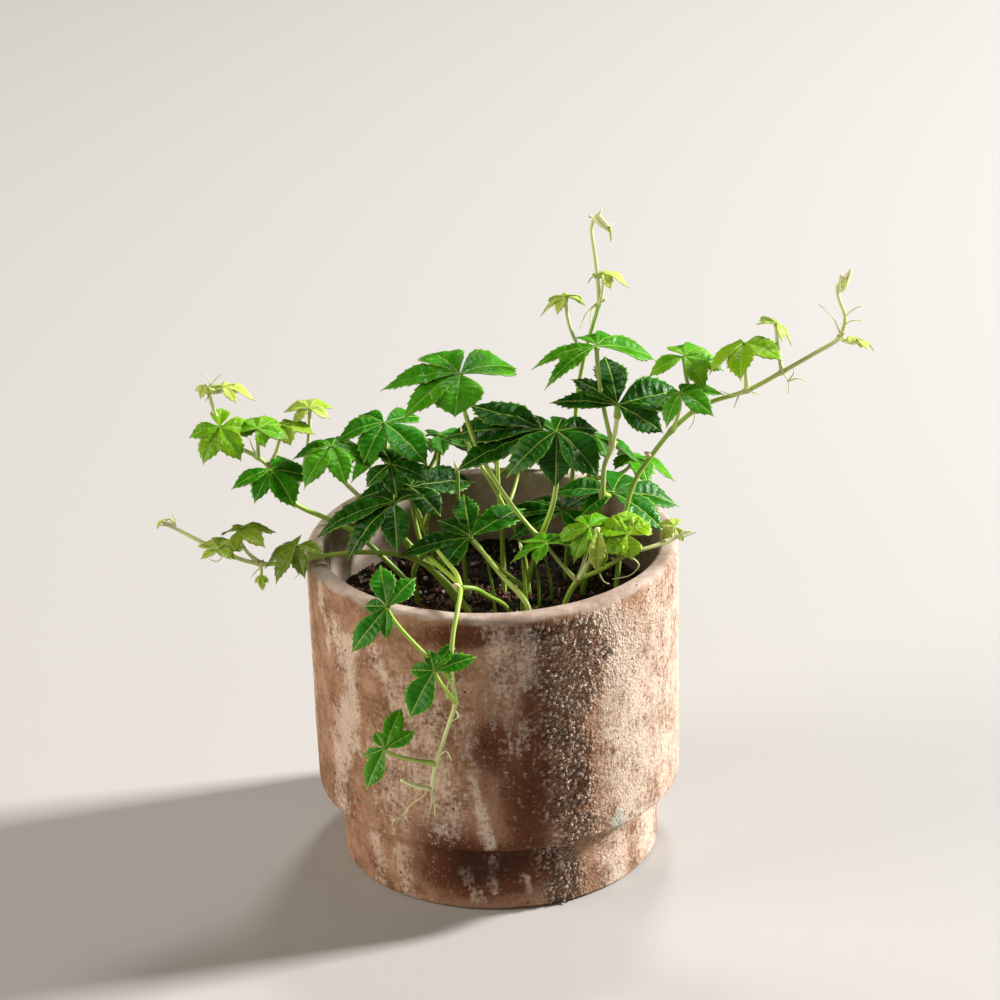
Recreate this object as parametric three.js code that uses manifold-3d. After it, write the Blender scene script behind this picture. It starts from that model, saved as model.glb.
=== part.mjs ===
// A small-leaved creeper in a round cast concrete pot with a recessed foot.
// Millimetres, +Z up; the origin is the middle of the pot's flat base.

import * as THREE from 'three';
import { mergeVertices } from 'three/addons/utils/BufferGeometryUtils.js';
import Module from 'manifold-3d';

const wasm = await Module();
wasm.setup();

// Pot: one casting, an upper drum that overhangs a narrower foot
const POT_HEIGHT = 125;
const POT_RADIUS = 70;
const POT_TAPER = 0.8;
const FOOT_RADIUS = 60.5;
const FOOT_HEIGHT = 29;
const WALL = 6.5;
const FLOOR = 14;
const CAVITY_RADIUS = POT_RADIUS - WALL;
const CAVITY_TAPER = 1;
const CAVITY_FOOT_RADIUS = 53;
const EDGE_ROUND = 2.4;
const FOOT_ROUND = 1.4;
const ROUND_STEPS = 2;
const POT_SEGMENTS = 40;

// Soil: fills the pot to below the rim, lumpy on top
const SOIL_TOP = 97;
// lumps: their height, and waves per millimetre along and across
const SOIL_LUMP = 1.1;
const LUMP_X = 0.21;
const LUMP_Y = 0.17;
const LUMP_SLANT = 0.31;
const SOIL_RINGS = 3;
const SOIL_SEGMENTS = POT_SEGMENTS / 2;
const CLEARANCE = 0.3;
const HOLE_SIDES = 8;
const SLIVER = 0.02;

// Leafy stems
const ROOT_DEPTH = 10;
const STEM_SIDES = 5;
const STEM_STEP = 8;
const PETIOLE_SIDES = 4;
const PETIOLE_RADIUS = 0.55;
const PETIOLE_GAIN = 0.012;
const PETIOLE_RISE = 0.45;
const PETIOLE_STEP = 11;

// Leaves: five leaflets round a hub, in one thin arched blade
const BLADE_THICKNESS = 0.75;
const HUB_RADIUS = 0.95;
const HALF_WIDTH = 0.26;
const ROOM = 0.5;
const FOLD = 0.35;
const WIDE_GAP = 100;
const YOUNG_LENGTH = 16.5;
// the leaflets' turn from the middle one in degrees, and their share of its length
const PALM = [[0, 1], [58, 0.92], [-58, 0.92], [116, 0.66], [-116, 0.66]];
// margin points from the base up: [share of the length, share of the half width]
const TEETH = [[0.42, 0.95], [0.47, 0.8], [0.75, 0.86], [0.79, 0.62]];
const YOUNG_TEETH = [[0.52, 1], [0.58, 0.76]];
const RIB = [0.34, 0.7];
const YOUNG_RIB = [0.5];

// Each shoot: its stem's radius, the route of its stem from the soil up, and its leaves.
// A leaf springs from the stem near point `from` of the route, counted from 0. `hub` is where its
// leaflets meet, and `lean` the compass heading and the angle in degrees by which its face tips over.
// `fingers` lists each leaflet's heading and length; a leaf of the plain pattern gives instead the
// `heading` and `size` of its middle leaflet. `droop` is a tip's fall as a share of its length, and
// `rise`, where it is given, is how far the petiole bends up, as a share of its length.
const SHOOTS = [
  {
    name: 'shoot_upper_left',
    radius: 1.15,
    route: [[-32, 16, 99], [-42, 16, 112], [-52, 17, 122], [-64, 19, 128], [-70, 19, 131], [-75, 18, 135],
      [-80, 17, 144], [-83, 15, 151], [-87, 13, 156], [-94, 12, 161], [-98, 12, 167], [-102, 12, 175],
      [-104, 12, 184]],
    leaves: [
      { from: 6, hub: [-82, 9, 152], lean: [270, 15], droop: 0.3,
        fingers: [[0, 16], [55, 14], [200, 16], [248, 15], [300, 19]] },
      { from: 8, hub: [-86, 6, 170], lean: [270, 20], droop: 0.3, heading: 50, size: 12 },
      { from: 7, hub: [-78, 16, 167], lean: [180, 5], droop: 0.3, heading: 350, size: 13 },
      { from: 5, hub: [-67, 20, 172], lean: [270, 15], droop: 0.4, heading: 100, size: 12 },
      { from: 10, hub: [-100, 7, 171], lean: [270, 30], droop: 0.3,
        fingers: [[5, 14], [90, 12], [190, 12], [245, 15], [300, 15]] },
      { from: 12, hub: [-98, 12, 185], lean: [180, 5], droop: 0.6, heading: 60, size: 12 },
    ],
  },
  {
    name: 'shoot_low_left',
    radius: 1.1,
    route: [[-9, -12, 99], [-18, -12, 114], [-30, -13, 124], [-46, -15, 128], [-63, -17, 128],
      [-72, -18, 127], [-79, -18, 126], [-86, -18, 126], [-93, -18, 128], [-99, -18, 131], [-108, -16, 135],
      [-116, -14, 139], [-121, -14, 142]],
    leaves: [
      { from: 5, hub: [-72, -23, 135], lean: [220, 20], droop: 0.45,
        fingers: [[110, 12], [178, 15], [225, 15], [272, 13], [340, 10]] },
      { from: 7, hub: [-94, -15, 138], lean: [180, 10], droop: 0.35, heading: 20, size: 14 },
      { from: 9, hub: [-101, -22, 134], lean: [270, 15], droop: 0.25, heading: 85, size: 11 },
    ],
  },
  {
    name: 'shoot_left_crown',
    radius: 1.2,
    route: [[-14, 0, 99], [-24, 3, 113], [-36, 9, 126], [-49, 13, 138], [-57, 13, 148], [-59, 12, 157]],
    leaves: [
      { from: 5, hub: [-59, 11, 160], lean: [270, 10], droop: 0.4,
        fingers: [[45, 14], [110, 13], [180, 15], [238, 19], [287, 18], [340, 16]] },
      { from: 2, hub: [-39, 18, 166], lean: [270, 15], droop: 0.3,
        fingers: [[35, 17], [135, 15], [188, 19], [245, 19], [310, 24]] },
      { from: 2, hub: [-37, 4, 155], lean: [270, 20], droop: 0.25,
        fingers: [[45, 16], [105, 14], [225, 13], [280, 14], [340, 15]] },
      { from: 1, hub: [-30, 12, 142], lean: [270, 15], droop: 0.2,
        fingers: [[20, 26], [75, 20], [135, 20], [182, 22], [310, 18]] },
      { from: 1, hub: [-36, -7, 144], lean: [250, 15], droop: 0.4,
        fingers: [[50, 16], [130, 18], [183, 32], [222, 27], [272, 20]] },
    ],
  },
  {
    name: 'shoot_centre',
    radius: 1.3,
    route: [[11, -4, 99], [12, -4, 106], [15, -4, 116], [18, -6, 127], [23, -8, 142], [25, -10, 156],
      [25, -12, 168]],
    leaves: [
      { from: 6, hub: [25, -12, 173], lean: [270, 25], droop: 0.4,
        fingers: [[20, 17], [75, 12], [218, 24], [268, 21], [316, 22]] },
      { from: 5, hub: [20, -1, 169], lean: [250, 20], droop: 0.12,
        fingers: [[100, 11], [138, 34], [165, 36], [195, 32], [245, 18]] },
      { from: 3, hub: [-10, 0, 192], lean: [270, 14], droop: 0.3,
        fingers: [[36, 26], [116, 28], [172, 30], [215, 27], [266, 19]] },
      { from: 1, hub: [-8, -15, 133], lean: [260, 20], droop: 0.15,
        fingers: [[40, 28], [95, 29], [135, 18], [185, 28], [230, 20]] },
    ],
  },
  {
    name: 'shoot_right_crown',
    radius: 1.3,
    route: [[34, 8, 99], [39, 8, 118], [42, 7, 139], [43, 6, 151], [46, 4, 160], [48, 3, 172]],
    leaves: [
      { from: 5, hub: [48, 2, 177], lean: [270, 30], droop: 0.2,
        fingers: [[20, 27], [95, 29], [135, 24], [166, 26], [325, 20]] },
      { from: 4, hub: [41, 9, 198], lean: [280, 15], droop: 0.4,
        fingers: [[12, 23], [60, 17], [115, 14], [185, 24], [215, 24]] },
      { from: 2, hub: [46, 10, 138], lean: [290, 15], droop: 0.3,
        fingers: [[10, 27], [75, 22], [165, 24], [215, 15], [325, 24]] },
      { from: 1, hub: [27, 13, 130], lean: [230, 10], droop: 0.12,
        fingers: [[50, 16], [125, 20], [170, 31], [208, 24], [300, 14]] },
    ],
  },
  {
    name: 'shoot_top',
    radius: 1.0,
    route: [[28, 26, 99], [30, 28, 120], [32, 30, 145], [34, 30, 170], [37, 27, 188], [40, 20, 202],
      [42, 14, 212], [42, 11, 221], [41, 10, 233], [40, 10, 245], [42, 9, 249], [46, 8, 245]],
    leaves: [
      { from: 6, hub: [44, 10, 226], lean: [175, 5], droop: 0.65, heading: 45, size: 10 },
      { from: 4, hub: [30, 13, 216], lean: [180, 5], droop: 0.6, heading: 120, size: 11 },
    ],
  },
  {
    name: 'shoot_right',
    radius: 1.1,
    route: [[45, -15, 99], [47, -13, 120], [50, -8, 138], [54, -4, 149], [60, -1, 157], [68, 0, 167],
      [77, 0, 175], [83, 0, 178], [96, 0, 182], [109, 0, 189], [121, 0, 196], [130, 0, 202], [132, 0, 210],
      [130, 0, 216], [129, 0, 222], [132, 0, 225]],
    leaves: [
      { from: 5, hub: [71, -6, 184], lean: [200, 20], droop: 0.5,
        fingers: [[10, 15], [60, 15], [150, 13], [230, 13], [310, 15]] },
      { from: 6, hub: [73, 3, 195], lean: [270, 20], droop: 0.45,
        fingers: [[0, 15], [55, 14], [110, 12], [195, 14], [300, 14]] },
      { from: 8, hub: [95, -1, 201], lean: [180, 15], droop: 0.35, heading: 255, size: 18 },
      { from: 9, hub: [107, 2, 207], lean: [0, 30], droop: 0.5, heading: 60, size: 10 },
      { from: 11, hub: [136, -3, 202], lean: [60, 30], droop: 0.4, heading: 300, size: 8 },
    ],
  },
  {
    name: 'shoot_hanging',
    radius: 1.1,
    route: [[-29, 4, 99], [-30, 1, 111], [-28, -5, 119], [-25, -13, 125], [-21, -27, 128], [-15, -46, 131],
      [-12, -55, 131], [-13, -66, 128], [-15, -73, 121], [-16, -76, 112], [-16, -75, 104], [-15, -75, 95],
      [-17, -75, 88], [-20, -75, 79], [-23, -75, 70], [-25, -75, 59]],
    leaves: [
      { from: 10, hub: [-38, -78, 135], lean: [255, 50], droop: 0.15, rise: 0.15,
        fingers: [[42, 15], [92, 17], [165, 9], [222, 21], [262, 12]] },
      { from: 11, hub: [-22, -80, 110], lean: [255, 50], droop: 0.15, rise: 0.15,
        fingers: [[14, 16], [52, 13], [100, 9], [165, 10], [230, 19]] },
      { from: 14, hub: [-41, -81, 80], lean: [255, 50], droop: 0.15, rise: 0.15,
        fingers: [[22, 13], [62, 17], [112, 8], [190, 9], [236, 16]] },
    ],
  },
  {
    name: 'shoot_low_right',
    radius: 1.1,
    route: [[24, -24, 99], [27, -25, 111], [31, -25, 118], [39, -25, 122], [45, -24, 125], [51, -23, 128],
      [58, -21, 129], [65, -18, 130], [71, -16, 132]],
    leaves: [
      { from: 2, hub: [20, -21, 132], lean: [190, 10], droop: 0.3, rise: 0.1, heading: 125, size: 16 },
      { from: 2, hub: [36, -19, 137], lean: [270, 30], droop: 0.5,
        fingers: [[50, 12], [110, 10], [190, 13], [240, 13], [290, 15]] },
      { from: 5, hub: [50, -22, 135], lean: [270, 35], droop: 0.2,
        fingers: [[35, 11], [90, 12], [150, 12], [215, 11], [275, 10]] },
    ],
  },
  {
    name: 'shoot_back_left',
    radius: 1.2,
    route: [[-22, 34, 99], [-26, 38, 114], [-32, 42, 128], [-36, 44, 138]],
    leaves: [
      { from: 3, hub: [-38, 45, 144], lean: [120, 10], droop: 0.4, heading: 160, size: 22 },
      { from: 2, hub: [-20, 58, 141], lean: [100, 15], droop: 0.35, heading: 100, size: 20 },
      { from: 1, hub: [-19, 38, 152], lean: [110, 10], droop: 0.35, heading: 30, size: 21 },
    ],
  },
  {
    name: 'shoot_back_middle',
    radius: 1.2,
    route: [[4, 32, 99], [4, 38, 116], [3, 44, 132], [2, 46, 144]],
    leaves: [
      { from: 3, hub: [2, 44, 151], lean: [80, 10], droop: 0.35, heading: 15, size: 21 },
      { from: 1, hub: [12, 62, 136], lean: [85, 15], droop: 0.35, heading: 80, size: 19 },
      { from: 2, hub: [15, 33, 159], lean: [60, 10], droop: 0.35, heading: 100, size: 21 },
    ],
  },
  {
    name: 'shoot_back_right',
    radius: 1.2,
    route: [[30, 40, 99], [34, 42, 114], [38, 43, 130], [40, 43, 140]],
    leaves: [
      { from: 3, hub: [41, 43, 147], lean: [40, 15], droop: 0.4, heading: 50, size: 21 },
      { from: 2, hub: [55, 44, 138], lean: [40, 15], droop: 0.35, heading: 350, size: 18 },
    ],
  },
];

const concrete = new THREE.MeshStandardMaterial({ color: '#8d7466', roughness: 0.9, metalness: 0 });
const earth = new THREE.MeshStandardMaterial({ color: '#2c1d15', roughness: 1, metalness: 0 });
const foliage = new THREE.MeshStandardMaterial({ color: '#3f8a2a', roughness: 0.45, metalness: 0 });

function solid(geometry) {
  const bare = geometry.clone();
  bare.deleteAttribute('normal');
  bare.deleteAttribute('uv');
  const merged = mergeVertices(bare);
  const vertProperties = new Float32Array(merged.attributes.position.array);
  const triVerts = new Uint32Array(merged.index.array);
  return new wasm.Manifold(new wasm.Mesh({ numProp: 3, vertProperties, triVerts }));
}

function meshOf(name, body, material) {
  const { vertProperties, triVerts } = body.getMesh();
  const geometry = new THREE.BufferGeometry();
  geometry.setAttribute('position', new THREE.BufferAttribute(vertProperties, 3));
  geometry.setIndex(new THREE.BufferAttribute(triVerts, 1));
  geometry.computeVertexNormals();
  const mesh = new THREE.Mesh(geometry, material);
  mesh.name = name;
  return mesh;
}

// Points of a rounded corner, from one angle to another round a centre
function round(centreX, centreZ, radius, from, to) {
  const points = [];
  for (let step = 0; step <= ROUND_STEPS; step++) {
    const angle = THREE.MathUtils.degToRad(THREE.MathUtils.lerp(from, to, step / ROUND_STEPS));
    points.push(new THREE.Vector2(centreX + radius * Math.cos(angle), centreZ + radius * Math.sin(angle)));
  }
  return points;
}

// A closed profile turned round the Z axis
function turned(profile, segments) {
  return new THREE.LatheGeometry(profile, segments).rotateX(Math.PI / 2);
}

function pot() {
  const lipRadius = POT_RADIUS - POT_TAPER;
  const lipRound = round(lipRadius - EDGE_ROUND, FOOT_HEIGHT + EDGE_ROUND, EDGE_ROUND, -90, 0);
  const rimRound = round(POT_RADIUS - EDGE_ROUND, POT_HEIGHT - EDGE_ROUND, EDGE_ROUND, 0, 90);
  const footRound = round(FOOT_RADIUS - FOOT_ROUND, FOOT_ROUND, FOOT_ROUND, -90, 0);
  const profile = [
    new THREE.Vector2(0, 0),
    ...footRound,
    new THREE.Vector2(FOOT_RADIUS, FOOT_HEIGHT),
    ...lipRound,
    ...rimRound,
    new THREE.Vector2(CAVITY_RADIUS + FOOT_ROUND, POT_HEIGHT),
    new THREE.Vector2(CAVITY_RADIUS, POT_HEIGHT - FOOT_ROUND),
    ...cavityWall(0).reverse(),
  ];
  return meshOf('pot', solid(turned(profile, POT_SEGMENTS)), concrete);
}

// The inside of the pot from the middle of its floor up to its wall, drawn in by a gap
function cavityWall(gap) {
  return [
    new THREE.Vector2(0, FLOOR + gap),
    new THREE.Vector2(CAVITY_FOOT_RADIUS - gap, FLOOR + gap),
    new THREE.Vector2(CAVITY_FOOT_RADIUS - gap, FOOT_HEIGHT + WALL + gap),
    new THREE.Vector2(CAVITY_RADIUS - CAVITY_TAPER - gap, FOOT_HEIGHT + WALL * 2 + gap),
  ];
}

function soilHeight(x, y) {
  const broad = Math.sin(x * LUMP_X + 1) * Math.cos(y * LUMP_Y);
  const small = Math.sin((x + 2 * y) * LUMP_SLANT) / 2;
  return SOIL_LUMP * (broad + small);
}

function soil() {
  const wallRadius = CAVITY_RADIUS - CAVITY_TAPER - CLEARANCE;
  const profile = cavityWall(CLEARANCE);
  for (let ring = 0; ring <= SOIL_RINGS; ring++) {
    profile.push(new THREE.Vector2(wallRadius * (1 - ring / SOIL_RINGS), SOIL_TOP));
  }
  const lump = turned(profile, SOIL_SEGMENTS);
  const places = lump.attributes.position;
  for (let n = 0; n < places.count; n++) {
    if (places.getZ(n) < SOIL_TOP - 1) continue;
    places.setZ(n, SOIL_TOP + soilHeight(places.getX(n), places.getY(n)));
  }
  let body = solid(lump);
  for (const { route: [[x, y]], radius } of SHOOTS) {
    const holeRadius = radius + CLEARANCE * 2;
    const hole = new THREE.CylinderGeometry(holeRadius, holeRadius, ROOT_DEPTH * 2, HOLE_SIDES);
    hole.rotateX(Math.PI / 2).translate(x, y, SOIL_TOP);
    body = body.subtract(solid(hole));
  }
  return meshOf('soil', body, earth);
}

function barSteps(curve, step) {
  return Math.max(2, Math.round(curve.getLength() / step));
}

// A round bar of few sides along a smooth curve
function bar(curve, radius, sides, step) {
  const section = new THREE.Shape();
  for (let side = 0; side < sides; side++) {
    const angle = (2 * Math.PI * side) / sides;
    const corner = [radius * Math.cos(angle), radius * Math.sin(angle)];
    if (side === 0) section.moveTo(...corner);
    else section.lineTo(...corner);
  }
  const options = { extrudePath: curve, steps: barSteps(curve, step), bevelEnabled: false };
  return solid(new THREE.ExtrudeGeometry(section, options));
}

// A leaf's upper face, lying flat round its hub: spots, and faces as spot numbers
function leafFace(fingers, droop) {
  const spots = [new THREE.Vector3()];
  const faces = [];
  const spot = (turn, out, across, height) => {
    const angle = THREE.MathUtils.degToRad(turn);
    const x = out * Math.cos(angle) - across * Math.sin(angle);
    const y = out * Math.sin(angle) + across * Math.cos(angle);
    return spots.push(new THREE.Vector3(x, y, height)) - 1;
  };
  const cover = (outline) => {
    const flat = outline.map((n) => new THREE.Vector2(spots[n].x, spots[n].y));
    for (const face of THREE.ShapeUtils.triangulateShape(flat, [])) faces.push(face.map((n) => outline[n]));
  };

  const order = [...fingers].sort((a, b) => a[0] - b[0]);
  const gaps = order.map(([heading], i) => (order[(i + 1) % order.length][0] - heading + 360) % 360);
  // between two leaflets the blade is cut back to the hub: one throat, or two where the gap is wide
  const throats = order.map(([heading], i) => {
    if (gaps[i] < WIDE_GAP) return [spot(heading + gaps[i] / 2, HUB_RADIUS, 0, 0)];
    const turns = [heading + WIDE_GAP / 2, heading + gaps[i] - WIDE_GAP / 2];
    const pair = turns.map((turn) => spot(turn, HUB_RADIUS, 0, 0));
    if (gaps[i] > WIDE_GAP) faces.push([0, ...pair]);
    return pair;
  });

  order.forEach(([heading, length], i) => {
    const before = (i + order.length - 1) % order.length;
    const sag = (along) => -droop * length * along * along;
    const [inner, teeth] = length > YOUNG_LENGTH ? [RIB, TEETH] : [YOUNG_RIB, YOUNG_TEETH];
    const rib = [...inner, 1].map((along) => spot(heading, along * length, 0, sag(along)));
    const sides = [[1, gaps[i], throats[i][0]], [-1, gaps[before], throats[before].at(-1)]];
    for (const [side, gap, throat] of sides) {
      const room = ROOM * Math.tan(THREE.MathUtils.degToRad(Math.min(gap, WIDE_GAP) / 2));
      const half = length * Math.min(HALF_WIDTH, room);
      const margin = teeth.map(([along, out]) => (
        spot(heading, along * length, side * out * half, sag(along) + FOLD * out * half)));
      const outline = [0, ...rib, ...margin.reverse(), throat];
      cover(side > 0 ? outline : outline.reverse());
    }
  });
  return { spots, faces };
}

// Gives a leaf's face its thickness: the same triangles below, and walls along the margin
function thicken({ spots, faces }) {
  const upper = new THREE.BufferGeometry().setFromPoints(spots).setIndex(faces.flat());
  upper.computeVertexNormals();
  // measured straight down, the blade is thicker where its face is steeper
  const drop = (n) => BLADE_THICKNESS / upper.attributes.normal.getZ(n);
  const lower = spots.map((spot, n) => spot.clone().setZ(spot.z - drop(n)));
  const count = spots.length;
  const edges = new Set(faces.flatMap(([a, b, c]) => [`${a} ${b}`, `${b} ${c}`, `${c} ${a}`]));
  const walls = [];
  for (const edge of edges) {
    const [a, b] = edge.split(' ').map(Number);
    if (edges.has(`${b} ${a}`)) continue;
    walls.push([a, a + count, b], [b, a + count, b + count]);
  }
  const under = faces.map(([a, b, c]) => [a + count, c + count, b + count]);
  const blade = new THREE.BufferGeometry().setFromPoints([...spots, ...lower]);
  return blade.setIndex([...faces, ...under, ...walls].flat());
}

// A leaf on its petiole, which runs from a point of the stem to the inside of the blade
function leaf({ hub, lean: [azimuth, tilt], droop, rise = PETIOLE_RISE, fingers, heading, size }, start) {
  const spread = fingers ?? PALM.map(([turn, share]) => [(heading + turn + 360) % 360, size * share]);
  const angle = THREE.MathUtils.degToRad(azimuth);
  const hinge = new THREE.Vector3(-Math.sin(angle), Math.cos(angle), 0);
  const turn = new THREE.Quaternion().setFromAxisAngle(hinge, THREE.MathUtils.degToRad(tilt));
  const blade = solid(thicken(leafFace(spread, droop)).applyQuaternion(turn).translate(...hub));

  const inside = new THREE.Vector3(0, 0, -BLADE_THICKNESS / 2).applyQuaternion(turn);
  const end = new THREE.Vector3(...hub).add(inside);
  const bend = end.clone().setZ(end.z - rise * start.distanceTo(end));
  const radius = PETIOLE_RADIUS + PETIOLE_GAIN * Math.max(...spread.map(([, length]) => length));
  const stalk = bar(new THREE.QuadraticBezierCurve3(start, bend, end), radius, PETIOLE_SIDES, PETIOLE_STEP);
  return blade.add(stalk);
}

function shoot({ name, radius, route, leaves }) {
  const [[x, y, z]] = route;
  const buried = [[x, y, SOIL_TOP - ROOT_DEPTH + CLEARANCE], [x, y, z - ROOT_DEPTH / 2]];
  const points = [...buried, ...route].map((place) => new THREE.Vector3(...place));
  const curve = new THREE.CatmullRomCurve3(points);
  const rings = curve.getSpacedPoints(barSteps(curve, STEM_STEP));
  let body = bar(curve, radius, STEM_SIDES, STEM_STEP);
  for (const one of leaves) {
    const joint = new THREE.Vector3(...route[one.from]);
    const nearest = rings.reduce((a, b) => (a.distanceTo(joint) < b.distanceTo(joint) ? a : b));
    body = body.add(leaf(one, nearest));
  }
  // fusing leaves slivers and can cut a crumb loose: the shoot is the largest piece, without them
  const whole = body.simplify(SLIVER).decompose().reduce((a, b) => (a.volume() > b.volume() ? a : b));
  return meshOf(name, whole, foliage);
}

const group = new THREE.Group();
group.add(pot(), soil(), ...SHOOTS.map(shoot));

export default group;
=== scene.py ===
# A small-leaved creeper in a cast concrete pot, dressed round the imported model.
# Lengths are in millimetres, and become metres where they reach a mesh.

import math
import random

import bmesh
import bpy
from mathutils import Matrix, Quaternion, Vector, noise


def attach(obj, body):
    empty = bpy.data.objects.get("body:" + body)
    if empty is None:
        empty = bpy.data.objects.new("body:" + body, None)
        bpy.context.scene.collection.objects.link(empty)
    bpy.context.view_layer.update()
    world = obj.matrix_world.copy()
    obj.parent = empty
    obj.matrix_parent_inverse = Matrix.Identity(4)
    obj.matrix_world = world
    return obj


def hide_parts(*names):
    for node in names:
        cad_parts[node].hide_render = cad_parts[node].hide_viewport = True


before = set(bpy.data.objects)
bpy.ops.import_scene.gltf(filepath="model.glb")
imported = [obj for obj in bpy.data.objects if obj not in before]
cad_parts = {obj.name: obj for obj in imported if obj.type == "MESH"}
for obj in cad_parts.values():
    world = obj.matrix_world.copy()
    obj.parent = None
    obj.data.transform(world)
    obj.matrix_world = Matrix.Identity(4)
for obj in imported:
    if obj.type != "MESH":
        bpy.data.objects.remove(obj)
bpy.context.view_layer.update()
MM = 0.001


# The camera: a long lens on a tripod one and a half metres in front of the pot, looking down on it.
# It is aimed above the pot's middle, so that the plant fits, and leans a little to the right.
VIEW_CENTRE = Vector((0, 0, 62.5))
VIEW_DISTANCE = 1450
VIEW_DOWN = 26.5
AIM_UP = 2.84
AIM_RIGHT = 0.14
LEAN = 1.8
LENS = 136.4


def turned(degrees, axis):
    return Matrix.Rotation(math.radians(degrees), 4, axis)


down = math.radians(VIEW_DOWN)
eye = VIEW_CENTRE + VIEW_DISTANCE * Vector((0, -math.cos(down), math.sin(down)))
camera = bpy.data.objects.new("camera", bpy.data.cameras.new("camera"))
camera.data.lens = LENS
aim = turned(90 - VIEW_DOWN + AIM_UP, "X") @ turned(-AIM_RIGHT, "Y") @ turned(-LEAN, "Z")
camera.matrix_world = Matrix.Translation(eye * MM) @ aim
bpy.context.scene.collection.objects.link(camera)
bpy.context.scene.camera = camera


# The studio: a pale card for the floor, a key light from the right and a little behind, which
# rakes the concrete, one from behind that shines on the leaves, two broad fills from the left and
# the front, and an even grey round everything.
FLOOR_SIZE = 6
FLOOR_DROP = 0.0003


def linear(code):
    """An sRGB hex colour as linear RGBA."""
    shares = [int(code[n : n + 2], 16) / 255 for n in (1, 3, 5)]
    return [s / 12.92 if s <= 0.04045 else ((s + 0.055) / 1.055) ** 2.4 for s in shares] + [1]


def add(material, kind, inputs=None, **settings):
    """Adds a shader node. inputs maps its sockets to a value, to another node's output, or to a node,
    which gives its first output, or its colour if it is a mix."""
    made = material.node_tree.nodes.new("ShaderNode" + kind)
    for key, value in settings.items():
        setattr(made, key, value)
    for socket, value in (inputs or {}).items():
        if isinstance(value, bpy.types.Node):
            value = value.outputs[2 if value.bl_idname == "ShaderNodeMix" else 0]
        if isinstance(value, bpy.types.NodeSocket):
            material.node_tree.links.new(value, made.inputs[socket])
        else:
            made.inputs[socket].default_value = value
    return made


def blank(name):
    """A material with nothing in it but its output."""
    material = bpy.data.materials.new(name)
    material.use_nodes = True
    material.node_tree.nodes.clear()
    return material


def studio_light(name, bearing, height, distance, size, watts, colour):
    """A square soft box aimed at the pot. Its bearing is from the front, towards the right."""
    lamp = bpy.data.lights.new(name, "AREA")
    lamp.size = size
    lamp.energy = watts
    lamp.color = linear(colour)[:3]
    across, up = math.radians(bearing), math.radians(height)
    way = Vector((math.sin(across) * math.cos(up), -math.cos(across) * math.cos(up), math.sin(up)))
    box = bpy.data.objects.new(name, lamp)
    facing = way.to_track_quat("Z", "Y").to_matrix().to_4x4()
    box.matrix_world = Matrix.Translation(VIEW_CENTRE * MM + way * distance) @ facing
    bpy.context.scene.collection.objects.link(box)


studio_light("key", bearing=104, height=28, distance=3.4, size=0.4, watts=255, colour="#fffdfb")
studio_light("side", bearing=-78, height=24, distance=2.0, size=1.0, watts=28, colour="#fff3e4")
studio_light("back", bearing=165, height=58, distance=2.4, size=0.3, watts=19, colour="#fdfeff")
studio_light("front", bearing=-15, height=40, distance=2.0, size=1.4, watts=4, colour="#fff6ea")

world = bpy.data.worlds.new("studio")
world.use_nodes = True
world.node_tree.nodes["Background"].inputs["Color"].default_value = linear("#efe6db")
world.node_tree.nodes["Background"].inputs["Strength"].default_value = 0.09
bpy.context.scene.world = world
bpy.context.scene.view_settings.view_transform = "Standard"

card = blank("matt_card")
card_face = add(card, "BsdfPrincipled", {"Base Color": linear("#b6b4b1"), "Roughness": 0.85})
add(card, "OutputMaterial", {"Surface": card_face})
sheet = bmesh.new()
bmesh.ops.create_grid(sheet, x_segments=1, y_segments=1, size=FLOOR_SIZE / 2)
bmesh.ops.translate(sheet, vec=(0, 0, -FLOOR_DROP), verts=sheet.verts)
floor = bpy.data.objects.new("floor", bpy.data.meshes.new("floor"))
sheet.to_mesh(floor.data)
floor.data.materials.append(card)
bpy.context.scene.collection.objects.link(floor)


# The pot: one casting of sandy concrete, a drum that overhangs a narrower foot. Its outside has
# pits, grains and a rough band where the mix met the mould badly, and lime salts have run down it.
POT_HEIGHT = 125
POT_RADIUS = 70
POT_TAPER = 0.8
FOOT_RADIUS = 60.5
FOOT_HEIGHT = 29
POT_FLOOR = 14
CAVITY_RADIUS = 63.5
CAVITY_TAPER = 1
CAVITY_FOOT_RADIUS = 53
POT_WALL = 6.5
EDGE_ROUND = 2.4
FOOT_ROUND = 1.4
# the pot is turned as slices of a few columns each, and a ROW is the step up its line
POT_COLUMNS = 380
SLICES = 20
WALL_ROW = 0.62
FOOT_ROW = 0.8
PLAIN_ROW = 4
# the rough band: its bearing from the front and half its width in degrees
BAND_BEARING = 22
BAND_HALF = 7.5
# columns stand this much closer together at the band, and as much wider apart behind
CROWDING = 0.57
# the band's grains, and how far they stand out, in millimetres
GRAIN_SIZE = 1.7
GRAIN_RISE = 2.3
# how far a run of lime wanders to the side, in degrees
SALT_SWAY = 2.5
# the height of broad and of small waves in the wall, and of the lime's crust, in millimetres
WALL_WAVE = 0.22
WALL_RIPPLE = 0.1
SALT_CRUST = 0.16
# the bearing of the inside's side that gets painted shade, and how far to each side it reaches, in degrees
SHADED_SIDE = 130
SHADE_REACH = 100
# the most that damp and painted shade can count, and how deep below the rim the bare, worn edge reaches
DAMP_AND_SHADE_MOST = 1.5
WORN_DEPTH = 2.2
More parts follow.
